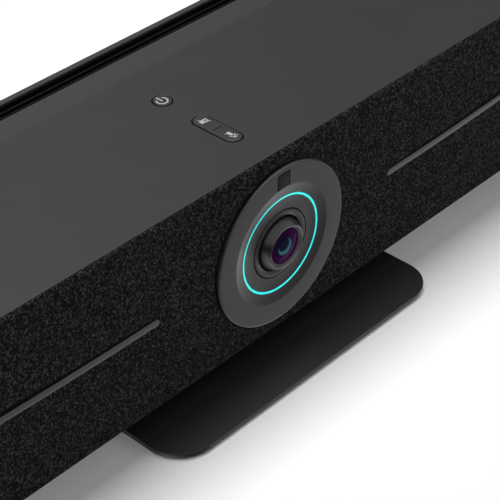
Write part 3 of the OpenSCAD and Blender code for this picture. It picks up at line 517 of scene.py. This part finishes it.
# Knitted cloth over the front, rolled into the gaps round the bezel and the trim strips
LIP, STRIP_LIP, LIP_FLAT = 0.0007, 0.0004, 0.0003
CLOTH_T = 0.0006
CLOTH_START = 0.5  # the middle's place along the cloth, so that none is negative
FLAT_LOW = EDGE_R + 0.0003  # where the flat part starts, over the bar's lower edge
EDGE_ZONE = 0.004  # height in which a point behind the front belongs to the long edge's roll
DISC_GAP, STRIP_GAP = 0.00035, 0.0004
SLOT_ABOVE, SLOT_WEDGE, WEDGE_RUN = 0.0004, 0.0015, 0.087  # room above a strip, and its growth outwards
SHADE_SHEET_HEIGHTS, SHADE_SHEET_SLACK = (-0.0007, -0.00035), 0.00004  # heights and slack of the black sheet that paints the shade in a strip's slot
PIECE_L = 0.008  # length of a piece of a strip's outline


def lip_rings(bm, outline, lip):
    """A rolled lip: outline(d) gives the loop that lies d outside the opening."""
    rings = []
    for i in range(7):
        a = math.radians(15 * i)
        d, depth = lip * (1 - math.cos(a)), lip * (1 - math.sin(a))
        rings.append([on_front(depth)(*p) for p in outline(d)])
    last = outline(lip + LIP_FLAT)
    rings.append([on_front(0)(*p) for p in last])
    bands(bm, rings)
    return last


# A strip rises by BOW times its run squared up to BOW_END, and levels out over BOW_EASE
BOW, BOW_END, BOW_EASE = 0.23, 0.095, 0.04


def strip_rise(u):
    """How far a strip has risen, u along it from its inner end."""
    v = min(max(u - BOW_END, 0), BOW_EASE)
    bow = BOW * min(max(u, 0), BOW_END) ** 2
    return bow + 2 * BOW * BOW_END * (v - v * v / (2 * BOW_EASE))


def strip_loop(s, grow, gap=0.0, wedge=0.0):
    """Outline of a trim strip drawn out by grow. Its upper edge rises by gap, and by wedge further out."""
    mid, length = s * (STRIP_START + STRIP_STOP) / 2, STRIP_STOP - STRIP_START
    pts = pill(mid, STRIP_Z, length + 2 * grow, STRIP_H + 2 * grow, 12)
    out = []
    for (x0, z0), (x1, z1) in zip(pts, pts[1:] + pts[:1]):
        n = max(1, round(abs(x1 - x0) / PIECE_L))
        for i in range(n):
            x, z = x0 + (x1 - x0) * i / n, z0 + (z1 - z0) * i / n
            u = s * x - STRIP_START
            upper = min(max((z - STRIP_Z) / (STRIP_H / 2), 0), 1)
            room = gap + wedge * min(max(u / WEDGE_RUN, 0), 1.1)
            out.append((x, z + strip_rise(u) + upper * room))
    return out


def slot_loop(s, grow):
    """Outline of the cloth's slot for a strip, drawn out from the strip by grow."""
    return strip_loop(s, grow, SLOT_ABOVE, SLOT_WEDGE)


def bar_path():
    """Plan points round the front, from end to end, with their outward normals."""
    half, r = BAR_W / 2, CORNER_R
    pts = [(-half, RETURN_Y - (RETURN_Y - r) * i / 8, -1.0, 0.0) for i in range(8)]
    pts += [(-half + r - r * math.cos(a), r - r * math.sin(a), -math.cos(a), -math.sin(a))
            for a in (math.pi / 2 * i / 20 for i in range(20))]
    pts += [(-half + r + (BAR_W / 2 - r) * i / 40, 0.0, 0.0, -1.0) for i in range(40)]
    pts = pts + [(0.0, 0.0, 0.0, -1.0)] + [(-x, y, -nx, ny) for x, y, nx, ny in reversed(pts)]
    return [(x, y + FRONT_Y, nx, ny) for x, y, nx, ny in pts]


def cloth_edges(bm, path):
    """The rolled long edges, with the tucks behind them."""
    tuck = [(EDGE_R + 0.00012, 0.0009), (EDGE_R + 0.00009, 0.0001)]
    turns = [math.pi / 2 * i / 8 for i in range(9)]
    low = tuck + [(EDGE_R * (1 - math.sin(a)), EDGE_R * (1 - math.cos(a))) for a in turns] + [(0, FLAT_LOW)]
    high = [(d, BAR_H - z) for d, z in reversed(low)]
    for rows in (low, high):
        bands(bm, [[(x - nx * d, y - ny * d, BAR_Z + z) for x, y, nx, ny in path] for d, z in rows], False)


def cloth_openings(bm):
    """Rolled lips round the bezel and the strips. Their outer outlines are holes in the flat front."""
    holes = [lip_rings(bm, lambda d: circle(0, LENS_Z, DISC_R + DISC_GAP + d, 160), LIP)]
    for s in (-1, 1):
        holes.append(lip_rings(bm, lambda d: slot_loop(s, STRIP_GAP + d), STRIP_LIP))
    return holes


def cloth_coordinates(me):
    """Gives each point its place on the cloth laid flat, in metres, which the knit follows."""
    edge, arc = BAR_W / 2 - CORNER_R, CORNER_R * math.pi / 2
    values = []
    for v in me.vertices:
        x, y, z = abs(v.co.x), v.co.y - FRONT_Y, v.co.z - BAR_Z
        if x <= edge:
            u, back = x, y
        elif y < CORNER_R:
            u = edge + math.atan2(x - edge, CORNER_R - y) * CORNER_R
            back = CORNER_R - math.hypot(x - edge, CORNER_R - y)
        else:
            u, back = edge + arc + y - CORNER_R, BAR_W / 2 - x
        w = z + (back if z > BAR_H - EDGE_ZONE else -back if z < EDGE_ZONE else 0)
        values += [CLOTH_START + math.copysign(u, v.co.x), w, 0.0]
    me.attributes.new("cloth", "FLOAT_VECTOR", "POINT").data.foreach_set("vector", values)


def front_cloth():
    """The knitted front, from one return round both corners to the other."""
    bm = bmesh.new()
    path = bar_path()
    cloth_edges(bm, path)
    first = next(i for i, p in enumerate(path) if p[3] == -1.0 and abs(p[0]) <= BAR_W / 2 - CORNER_R + 1e-9)
    last = len(path) - 1 - first
    zs = [BAR_Z + FLAT_LOW, BAR_Z + BAR_H - FLAT_LOW]
    for part in (path[:first + 1], path[last:]):
        bands(bm, [[(p[0], p[1], z) for p in part] for z in zs], False)
    xs = [p[0] for p in path[first:last + 1]]
    outline = [(x, zs[0]) for x in xs] + [(x, zs[1]) for x in reversed(xs)]
    fill(bm, on_front(0), outline, cloth_openings(bm))
    weld(bm, 0.000005)
    ob = finish_mesh(bm, "knitted_front", MATS["knit"], ROOT, ["front_fabric"], 60)
    cloth_coordinates(ob.data)
    thick = ob.modifiers.new("thickness", "SOLIDIFY")
    thick.thickness, thick.offset = CLOTH_T, -1


def prism(bm, loops_at, holes=(), lift=at_height):
    """Stacked outlines, (height, outline) each, closed by the first and the last. Holes cut the last."""
    bands(bm, [[lift(h)(*p) for p in loop] for h, loop in loops_at])
    fill(bm, lift(loops_at[0][0]), loops_at[0][1], [])
    fill(bm, lift(loops_at[-1][0]), loops_at[-1][1], list(holes))


def bevelled(outline, low, high, edge):
    """(height, outline) pairs of a plate whose top edge is rounded. outline(d) is drawn in by d."""
    rows = [(low, outline(0)), (high - edge, outline(0))]
    for i in range(1, 5):
        a = math.pi / 8 * i
        rows.append((high - edge + edge * math.sin(a), outline(edge * (1 - math.cos(a)))))
    return rows


def front_plate(name, rows, material, node_name):
    """A closed plate on the front, from (height, outline) rows."""
    bm = bmesh.new()
    prism(bm, rows, (), lambda h: on_front(-h))
    weld(bm)
    finish_mesh(bm, name, material, ROOT, [node_name])


def trim_strips():
    """Each strip, and the black sheet behind it that paints the shade in its slot."""
    for side, s in (("left", -1), ("right", 1)):
        cad = "trim_strip_" + side
        rows = bevelled(lambda d: strip_loop(s, -d), STRIP_BACK, STRIP_PROUD, STRIP_EDGE)
        front_plate("trim_" + side, rows, MATS["trim"], cad)
        # Painted shade: a near-black sheet at the back of the slot
        rows = [(h, slot_loop(s, STRIP_GAP - SHADE_SHEET_SLACK)) for h in SHADE_SHEET_HEIGHTS]
        front_plate("slot_shade_sheet_" + side, rows, MATS["slot_shade"], cad)


# Camera face
DISH_R, GAP_R, DISH_DEPTH = 0.0302, 0.0174, 0.00135
RING_IN, RING_OUT = 0.0239, 0.0249
PANE_W, WELL_W, WINDOW_Z, WINDOW_R = 0.0073, 0.0081, LENS_Z + 0.0344, 0.001
COLLAR_R, BARREL_R, RIM_R, GLASS_R = 0.0168, 0.0134, 0.0109, 0.0090
RIM_H = DISC_PROUD + 0.0027
RIM_EDGE = 0.0006
# Heights of the pieces' backs, behind the cloth
FACE_BACK, RING_BACK, BARREL_BACK = -0.005, -0.004, -0.024


def dish(r):
    """Height of the dished face at radius r, forward of the cloth."""
    return DISC_PROUD - DISH_DEPTH * (1 - ((r - GAP_R) / (DISH_R - GAP_R)) ** 2)


def dish_profile(r0, r1, n=14):
    """Points of the dished face between two radii."""
    return [(r0 + (r1 - r0) * i / n, dish(r0 + (r1 - r0) * i / n)) for i in range(n + 1)]


def bezel():
    """The grey disc with the outer part of its dish and the well of the small window."""
    n = 192
    bm = bmesh.new()
    rim = arc_points(DISC_R - RIM_EDGE, DISC_PROUD - RIM_EDGE, RIM_EDGE, 0, 90, 6)
    outer = [(RING_OUT, FACE_BACK), (HOLE_R - 0.0001, FACE_BACK), (HOLE_R - 0.0001, 0.0), (DISC_R, 0.0)]
    outer += rim + [(rim[-1][0] - 0.0003, DISC_PROUD)]
    inner = [(DISH_R + 0.0006, DISC_PROUD), (DISH_R + 0.0002, DISC_PROUD - 0.00001)]
    inner += dish_profile(DISH_R - 0.0002, RING_OUT + 0.00015)
    inner += [(RING_OUT + 0.00005, dish(RING_OUT) - 0.0001), (RING_OUT + 0.00005, RING_BACK)]
    inner.append((RING_OUT, FACE_BACK))
    bands(bm, lathe(outer, n))
    bands(bm, lathe(inner, n))
    frame_loop = round_rect(0, WINDOW_Z, WELL_W + 0.0002, WELL_W + 0.0002, WINDOW_R + 0.0001)
    wall = round_rect(0, WINDOW_Z, WELL_W, WELL_W, WINDOW_R)
    well = [(DISC_PROUD, frame_loop), (DISC_PROUD - 0.0001, wall), (DISC_PROUD - 0.0015, wall)]
    bands(bm, [[on_front(-h)(*p) for p in loop] for h, loop in well])
    fill(bm, on_front(-well[-1][0]), well[-1][1], [])
    fill(bm, on_front(-DISC_PROUD), circle(0, LENS_Z, outer[-1][0], n),
         [circle(0, LENS_Z, inner[0][0], n), frame_loop])
    weld(bm)
    finish_mesh(bm, "bezel", MATS["grey_plastic"], ROOT, ["camera_bezel"])


def window():
    """The dark pane, a little smaller than its well."""
    rows = bevelled(lambda d: round_rect(0, WINDOW_Z, PANE_W - 2 * d, PANE_W - 2 * d, WINDOW_R - d),
                    DISC_PROUD - 0.0014, DISC_PROUD - 0.00006, 0.00012)
    front_plate("window", rows, MATS["smoked"], "sensor_window")


def ring_and_dish():
    """The light ring, the inner part of the dish and the collar round the lens."""
    top, low = dish(RING_IN), dish(GAP_R)
    ring = [(RING_IN, RING_BACK), (RING_OUT, RING_BACK), (RING_OUT, dish(RING_OUT) - 0.0001),
            (RING_OUT - 0.00015, dish(RING_OUT) + 0.00002), (RING_IN + 0.00015, top + 0.00002),
            (RING_IN, top - 0.0001)]
    turned("ring", ring, MATS["glow"], "light_ring")

    inner_dish = [(RING_IN - 0.00005, FACE_BACK), (RING_IN - 0.00005, top - 0.0001)]
    inner_dish += dish_profile(RING_IN - 0.00015, GAP_R + 0.00015, 10)
    inner_dish += [(GAP_R, low - 0.00015), (GAP_R, FACE_BACK)]
    turned("dish", inner_dish, MATS["grey_plastic"], "lens_dish")

    bore = BARREL_R + 0.00045
    collar = [(bore, FACE_BACK), (COLLAR_R, FACE_BACK), (COLLAR_R, low - 0.00025),
              (COLLAR_R - 0.0001, low - 0.00005), (COLLAR_R - 0.0003, low),
              (BARREL_R + 0.0007, low - 0.00020), (BARREL_R + 0.0005, low - 0.0003), (bore, low - 0.0009)]
    turned("collar", collar, MATS["grey_plastic"], "lens_collar")


def lens():
    """Barrel, retaining ring and front element, turned about the lens axis."""
    foot = dish(GAP_R) - 0.00025
    edge, seat = RIM_H - 0.0014, RIM_H - 0.0030
    back = [(BARREL_R - 0.0014, BARREL_BACK), (BARREL_R, BARREL_BACK), (BARREL_R, -0.004),
            (BARREL_R - 0.0005, -0.0035)]
    side = [(BARREL_R - 0.0005, foot - 0.0008), (BARREL_R - 0.0005, foot),
            (BARREL_R - 0.00065, foot + 0.0008), (RIM_R + 0.0005, RIM_H - 0.0008),
            (RIM_R + 0.00012, RIM_H - 0.00025), (RIM_R, RIM_H - 0.00008)]
    bore = [(RIM_R - 0.0001, RIM_H), (RIM_R - 0.0004, RIM_H - 0.0002), (RIM_R - 0.0004, seat),
            (0.00745, seat), (0.00745, -0.014), (0.0064, -0.014), (0.0064, BARREL_BACK)]
    turned("barrel", back + side + bore, MATS["barrel_paint"], "lens_barrel", 40)

    rim = [(RIM_R - 0.00041, seat + 0.0002), (RIM_R - 0.00041, RIM_H - 0.0002),
           (RIM_R - 0.00012, RIM_H + 0.00004), (RIM_R - 0.0003, RIM_H + 0.00012),
           (RIM_R - 0.0006, RIM_H - 0.0001)]
    groove = [(GLASS_R + 0.0007, edge + 0.0004), (GLASS_R + 0.0007, edge + 0.0001),
              (GLASS_R + 0.0005, edge + 0.0001), (GLASS_R + 0.00045, edge + 0.00035)]
    hold = [(GLASS_R + 0.0001, edge + 0.0003), (GLASS_R + 0.00005, edge - 0.0001),
            (GLASS_R + 0.00005, seat + 0.0002)]
    turned("lens_ring", rim + groove + hold, MATS["lens_ring"], "lens_barrel", 40)

    rise, steps = 0.001, 24
    dome = (GLASS_R ** 2 + rise ** 2) / (2 * rise)
    cap = [(GLASS_R * k / steps, edge + rise - dome + math.sqrt(dome ** 2 - (GLASS_R * k / steps) ** 2))
           for k in range(steps, 0, -1)]
    glass = [(0.0001, seat), (GLASS_R, seat), (GLASS_R, cap[0][1] - 0.0001)] + cap + [(0.0001, edge + rise)]
    turned("front_element", glass, MATS["coated_glass"], "front_lens")


# Keys with their symbols
COVER_TOP = BAR_Z + BAR_H
KEY_X, KEY_Y, POWER_Y = -0.005, FRONT_Y + 0.0332, FRONT_Y + 0.067
KEY_W, KEY_L, POWER_D, PROUD = 0.009, 0.027, 0.0091, 0.00025
COVER_LOW = COVER_TOP - 0.0024  # underside of the cover's top wall
KEY_GAP, KEY_EDGE = 0.00025, 0.00015  # room round a cap inside its opening, and its rounded edge
INK, INK_LOW, INK_STEP = 0.00003, 0.00002, 0.000004  # print's height, how far it is let in, and per shape


def symbol(name, shapes, body):
    """Printed marks: thin closed shapes on a key's top."""
    bm = bmesh.new()
    for k, (outline, holes) in enumerate(shapes):
        low, high = COVER_TOP + PROUD - INK_LOW, COVER_TOP + PROUD + INK + k * INK_STEP
        for loop in (outline, *holes):
            bands(bm, [[at_height(h)(*p) for p in loop] for h in (low, high)])
        for h in (low, high):
            fill(bm, at_height(h), outline, holes)
    weld(bm, 0.0000005)
    finish_mesh(bm, name, MATS["print"], body)


def bar_shape(x0, y0, x1, y1, w):
    """A straight stroke with round ends."""
    a = math.degrees(math.atan2(y1 - y0, x1 - x0))
    return arc_points(x1, y1, w / 2, a - 90, a + 90, 6) + arc_points(x0, y0, w / 2, a + 90, a + 270, 6)


def arc_shape(cx, cy, r, w, a0, a1):
    """A curved stroke from a0 to a1 degrees."""
    return arc_points(cx, cy, r + w / 2, a0, a1, 28) + arc_points(cx, cy, r - w / 2, a1, a0, 28)


def long_key():
    """The rocking cap with its dividing groove, two stems under it and the ends of its pin."""
    low, top = COVER_LOW - 0.003, COVER_TOP + PROUD
    stem_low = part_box("rocker_key")[0].z
    stem_y, stem_r = 0.008, 0.0015
    pin_z, pin_r = COVER_LOW - 0.0018, 0.001
    groove, groove_depth = pill(KEY_X, KEY_Y, 0.0060, 0.00060), 0.0004
    wide, long = KEY_W - 2 * KEY_GAP, KEY_L - 2 * KEY_GAP
    bm = bmesh.new()
    rows = bevelled(lambda d: pill(KEY_X, KEY_Y, wide - 2 * d, long - 2 * d, 20), low, top, KEY_EDGE)
    prism(bm, rows, [groove])
    bands(bm, [[at_height(h)(*p) for p in groove] for h in (top, top - groove_depth)])
    fill(bm, at_height(top - groove_depth), groove, [])
    for s in (-1, 1):
        loop = circle(KEY_X, KEY_Y + s * stem_y, stem_r, 24)
        prism(bm, [(stem_low, loop), (low + 0.0005, loop)])
    pin = circle(KEY_Y, pin_z, pin_r, 24)
    for s in (-1, 1):
        ends = [KEY_X + s * (KEY_W / 2 - 0.001), KEY_X + s * (KEY_W / 2 + 0.0026)]
        prism(bm, [(x, pin) for x in ends], (), lambda x: lambda y, z: (x, y, z))
    weld(bm, 0.000001)
    finish_mesh(bm, "long_key_cap", MATS["grey_plastic"], "long_key", ["rocker_key"])


def power_key():
    """The round cap with the flange that holds it under the cover, and its stem."""
    flange_r, flange_low, flange_top = POWER_D / 2 + 0.00145, COVER_LOW - 0.0012, COVER_LOW - 0.0002
    stem_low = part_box("power_button")[0].z
    bm = bmesh.new()
    flange = circle(KEY_X, POWER_Y, flange_r, 64)
    neck = circle(KEY_X, POWER_Y, POWER_D / 2, 64)
    rows = [(flange_low, flange), (flange_top, flange), (flange_top, neck)]
    rows += bevelled(lambda d: circle(KEY_X, POWER_Y, POWER_D / 2 - KEY_GAP - d, 64),
                     flange_top, COVER_TOP + PROUD, KEY_EDGE)
    prism(bm, rows)
    stem = circle(KEY_X, POWER_Y, 0.0016, 24)
    prism(bm, [(stem_low, stem), (COVER_LOW - 0.001, stem)])
    weld(bm, 0.000001)
    finish_mesh(bm, "power_cap", MATS["grey_plastic"], "power_key", ["power_button"])


def key_symbols():
    """Power on its own key, camera off and microphone off on the long one."""
    cx, cy = KEY_X - 0.0004, POWER_Y - 0.0002
    ring = arc_shape(KEY_X - 0.0003, POWER_Y - 0.0001, 0.0026, 0.0007, 139, 408)
    symbol("power_symbol", [(ring, ()), (bar_shape(cx, cy, cx, cy + 0.0036, 0.0007), ())], "power_key")

    cx, cy = KEY_X + 0.0009, FRONT_Y + 0.0414
    body = round_rect(cx, cy, 0.0027, 0.0028, 0.0004)
    screen = round_rect(cx, cy, 0.0015, 0.0016, 0.0002)
    hood = round_rect(cx - 0.0022, cy, 0.0016, 0.0023, 0.0003)
    slash = bar_shape(cx - 0.0026, cy + 0.0023, cx + 0.0016, cy - 0.0021, 0.0003)
    symbol("camera_symbol", [(body, [screen]), (hood, ()), (slash, ())], "long_key")

    cx, cy = KEY_X + 0.0005, FRONT_Y + 0.0250
    capsule = pill(cx, cy + 0.0013, 0.0017, 0.0032)
    cradle = arc_shape(cx, cy + 0.0001, 0.0015, 0.00045, 185, 355)
    stem = bar_shape(cx, cy - 0.0014, cx, cy - 0.0023, 0.00045)
    foot = bar_shape(cx - 0.0010, cy - 0.0024, cx + 0.0010, cy - 0.0024, 0.0004)
    slash = bar_shape(cx - 0.0018, cy + 0.0025, cx + 0.0021, cy - 0.0019, 0.0003)
    symbol("microphone_symbol", [(shape, ()) for shape in (capsule, cradle, stem, foot, slash)], "long_key")


SOFT_EDGES = {"top_cover": 0.00015, "rear_cover": 0.0003, "foot_plate": 0.0004, "bottom_cover": 0.0002,
              "stand_neck": 0.0004}
NOT_MIRRORED = ("foot_plate", "foot_pad")  # the camera face would show them as a dark patch


def dress_nodes():
    """Gives every CAD node that still shows its finish, and rounds the hard edges of the outer ones."""
    slots = {p["node"]: p["material_slot"] for p in frame["record"]["subparts"]}
    # Painted shade: the vent grille gets the near-black sheet material, for the shade inside the vent
    slots["vent_grille"] = "slot_shade"
    for name, ob in NODES.items():
        if ob.hide_render:
            continue
        ob.data.materials.clear()
        ob.data.materials.append(MATS[slots[name]])
        ob.visible_glossy = name not in NOT_MIRRORED
        if name in SOFT_EDGES:
            w = ob.modifiers.new("join", "WELD")
            w.merge_threshold = 0.000005
            b = ob.modifiers.new("edges", "BEVEL")
            b.width, b.segments, b.limit_method = SOFT_EDGES[name], 2, "ANGLE"
            b.angle_limit = math.radians(50)
            b.harden_normals = False


# Floor and light
FLOOR_SIZE, FLOOR_LIFT, SKY = 6, 0.10, 0.15
LAMPS = [  # name, place, aim, size, watts
    ("key", (-0.1, 0.30, 1.3), (-0.1, 0.30, 0), (1.3, 0.60), 20),
    ("fill", (0.9, -1.6, 0.35), (0, 0, 0.06), (1.2, 0.8), 11)]


def paper_floor():
    """Pale paper. Camera rays see it a little lighter than it lights the object."""
    bm = bmesh.new()
    bmesh.ops.create_grid(bm, x_segments=8, y_segments=8, size=FLOOR_SIZE)
    me = bpy.data.meshes.new("floor")
    bm.to_mesh(me)
    bm.free()
    floor = bpy.data.objects.new("floor", me)
    bpy.context.scene.collection.objects.link(floor)
    m, nt, out = new_material("floor_paper")
    path = nt.nodes.new("ShaderNodeLightPath")
    seen = math_node(nt, "MAXIMUM", path.outputs["Is Camera Ray"], path.outputs["Is Transmission Ray"])
    fibre = noise(nt, place(nt), 900, 3, 0.6)
    paper = mix_color(nt, ramp(nt, fibre, ((0.3, 0.7), (0, 1))), (0.885, 0.885, 0.885), (0.90, 0.90, 0.90))
    plain = node(nt, "ShaderNodeBsdfDiffuse", {"Color": (0.80, 0.80, 0.80, 1)})
    bright = nt.nodes.new("ShaderNodeBsdfDiffuse")
    nt.links.new(paper, bright.inputs["Color"])
    lift = node(nt, "ShaderNodeEmission", {"Color": (1, 1, 1, 1), "Strength": FLOOR_LIFT})
    both = nt.nodes.new("ShaderNodeAddShader")
    nt.links.new(bright.outputs[0], both.inputs[0])
    nt.links.new(lift.outputs[0], both.inputs[1])
    nt.links.new(mix_shader(nt, seen, plain.outputs[0], both.outputs[0]), out.inputs["Surface"])
    me.materials.append(m)
    floor.visible_glossy = False


def mirror_light(nt):
    """How bright a mirror ray finds its direction. y points behind the bar and z up."""
    coord = nt.nodes.new("ShaderNodeTexCoord")
    parts = nt.nodes.new("ShaderNodeSeparateXYZ")
    nt.links.new(coord.outputs["Generated"], parts.inputs[0])
    y, z = parts.outputs[1], parts.outputs[2]
    # Below and to the sides, none straight ahead and little behind
    side = ramp(nt, y, ((-0.80, -0.22), (0, 1)))
    side = math_node(nt, "MULTIPLY", math_node(nt, "POWER", side, 2.0), 1.6)
    side = math_node(nt, "MULTIPLY", side, ramp(nt, y, ((0.02, 0.25), (1, 0.15))))
    below = math_node(nt, "MULTIPLY", side, ramp(nt, z, ((-0.52, -0.25), (1, 0.03))))
    # Overhead, little behind
    box = ramp(nt, y, ((0.12, 0.45), (1.2, 0.06)))
    above = math_node(nt, "MULTIPLY", box, ramp(nt, z, ((0.10, 0.40), (0, 1))))
    # Straight behind, over the horizon
    rear = ramp(nt, y, ((0.58, 0.72), (0, 0.3)))
    rear = math_node(nt, "MULTIPLY", rear, ramp(nt, z, ((0.0, 0.2), (0, 1))))
    return math_node(nt, "ADD", math_node(nt, "MAXIMUM", below, above), rear)


def world():
    """White for the camera, dim for the light it gives, and soft panels for mirror reflections."""
    w = bpy.data.worlds.new("studio")
    bpy.context.scene.world = w
    w.use_nodes = True
    nt = w.node_tree
    nt.nodes.clear()
    out = nt.nodes.new("ShaderNodeOutputWorld")
    path = nt.nodes.new("ShaderNodeLightPath")
    shown = node(nt, "ShaderNodeBackground", {"Color": (1, 1, 1, 1)})
    nt.links.new(mirror_light(nt), shown.inputs["Strength"])
    dim = node(nt, "ShaderNodeBackground", {"Color": (1, 1, 1, 1), "Strength": SKY})
    white = node(nt, "ShaderNodeBackground", {"Color": (1, 1, 1, 1), "Strength": 1.0})
    lit = mix_shader(nt, path.outputs["Is Glossy Ray"], dim.outputs[0], shown.outputs[0])
    all_rays = mix_shader(nt, path.outputs["Is Camera Ray"], lit, white.outputs[0])
    nt.links.new(all_rays, out.inputs["Surface"])


def lamps():
    """A wide lamp above and a low one in front."""
    for name, where, aim, size, power in LAMPS:
        data = bpy.data.lights.new(name, "AREA")
        data.shape, data.energy = "RECTANGLE", power
        data.size, data.size_y = size
        lamp = bpy.data.objects.new(name, data)
        bpy.context.scene.collection.objects.link(lamp)
        lamp.location = where
        lamp.rotation_mode = "QUATERNION"
        lamp.rotation_quaternion = (Vector(aim) - Vector(where)).to_track_quat("-Z", "Y")


set_camera()
front_cloth()
trim_strips()
bezel()
window()
ring_and_dish()
lens()
long_key()
power_key()
key_symbols()
dress_nodes()
paper_floor()
world()
lamps()
bpy.context.scene.view_settings.view_transform = "Standard"
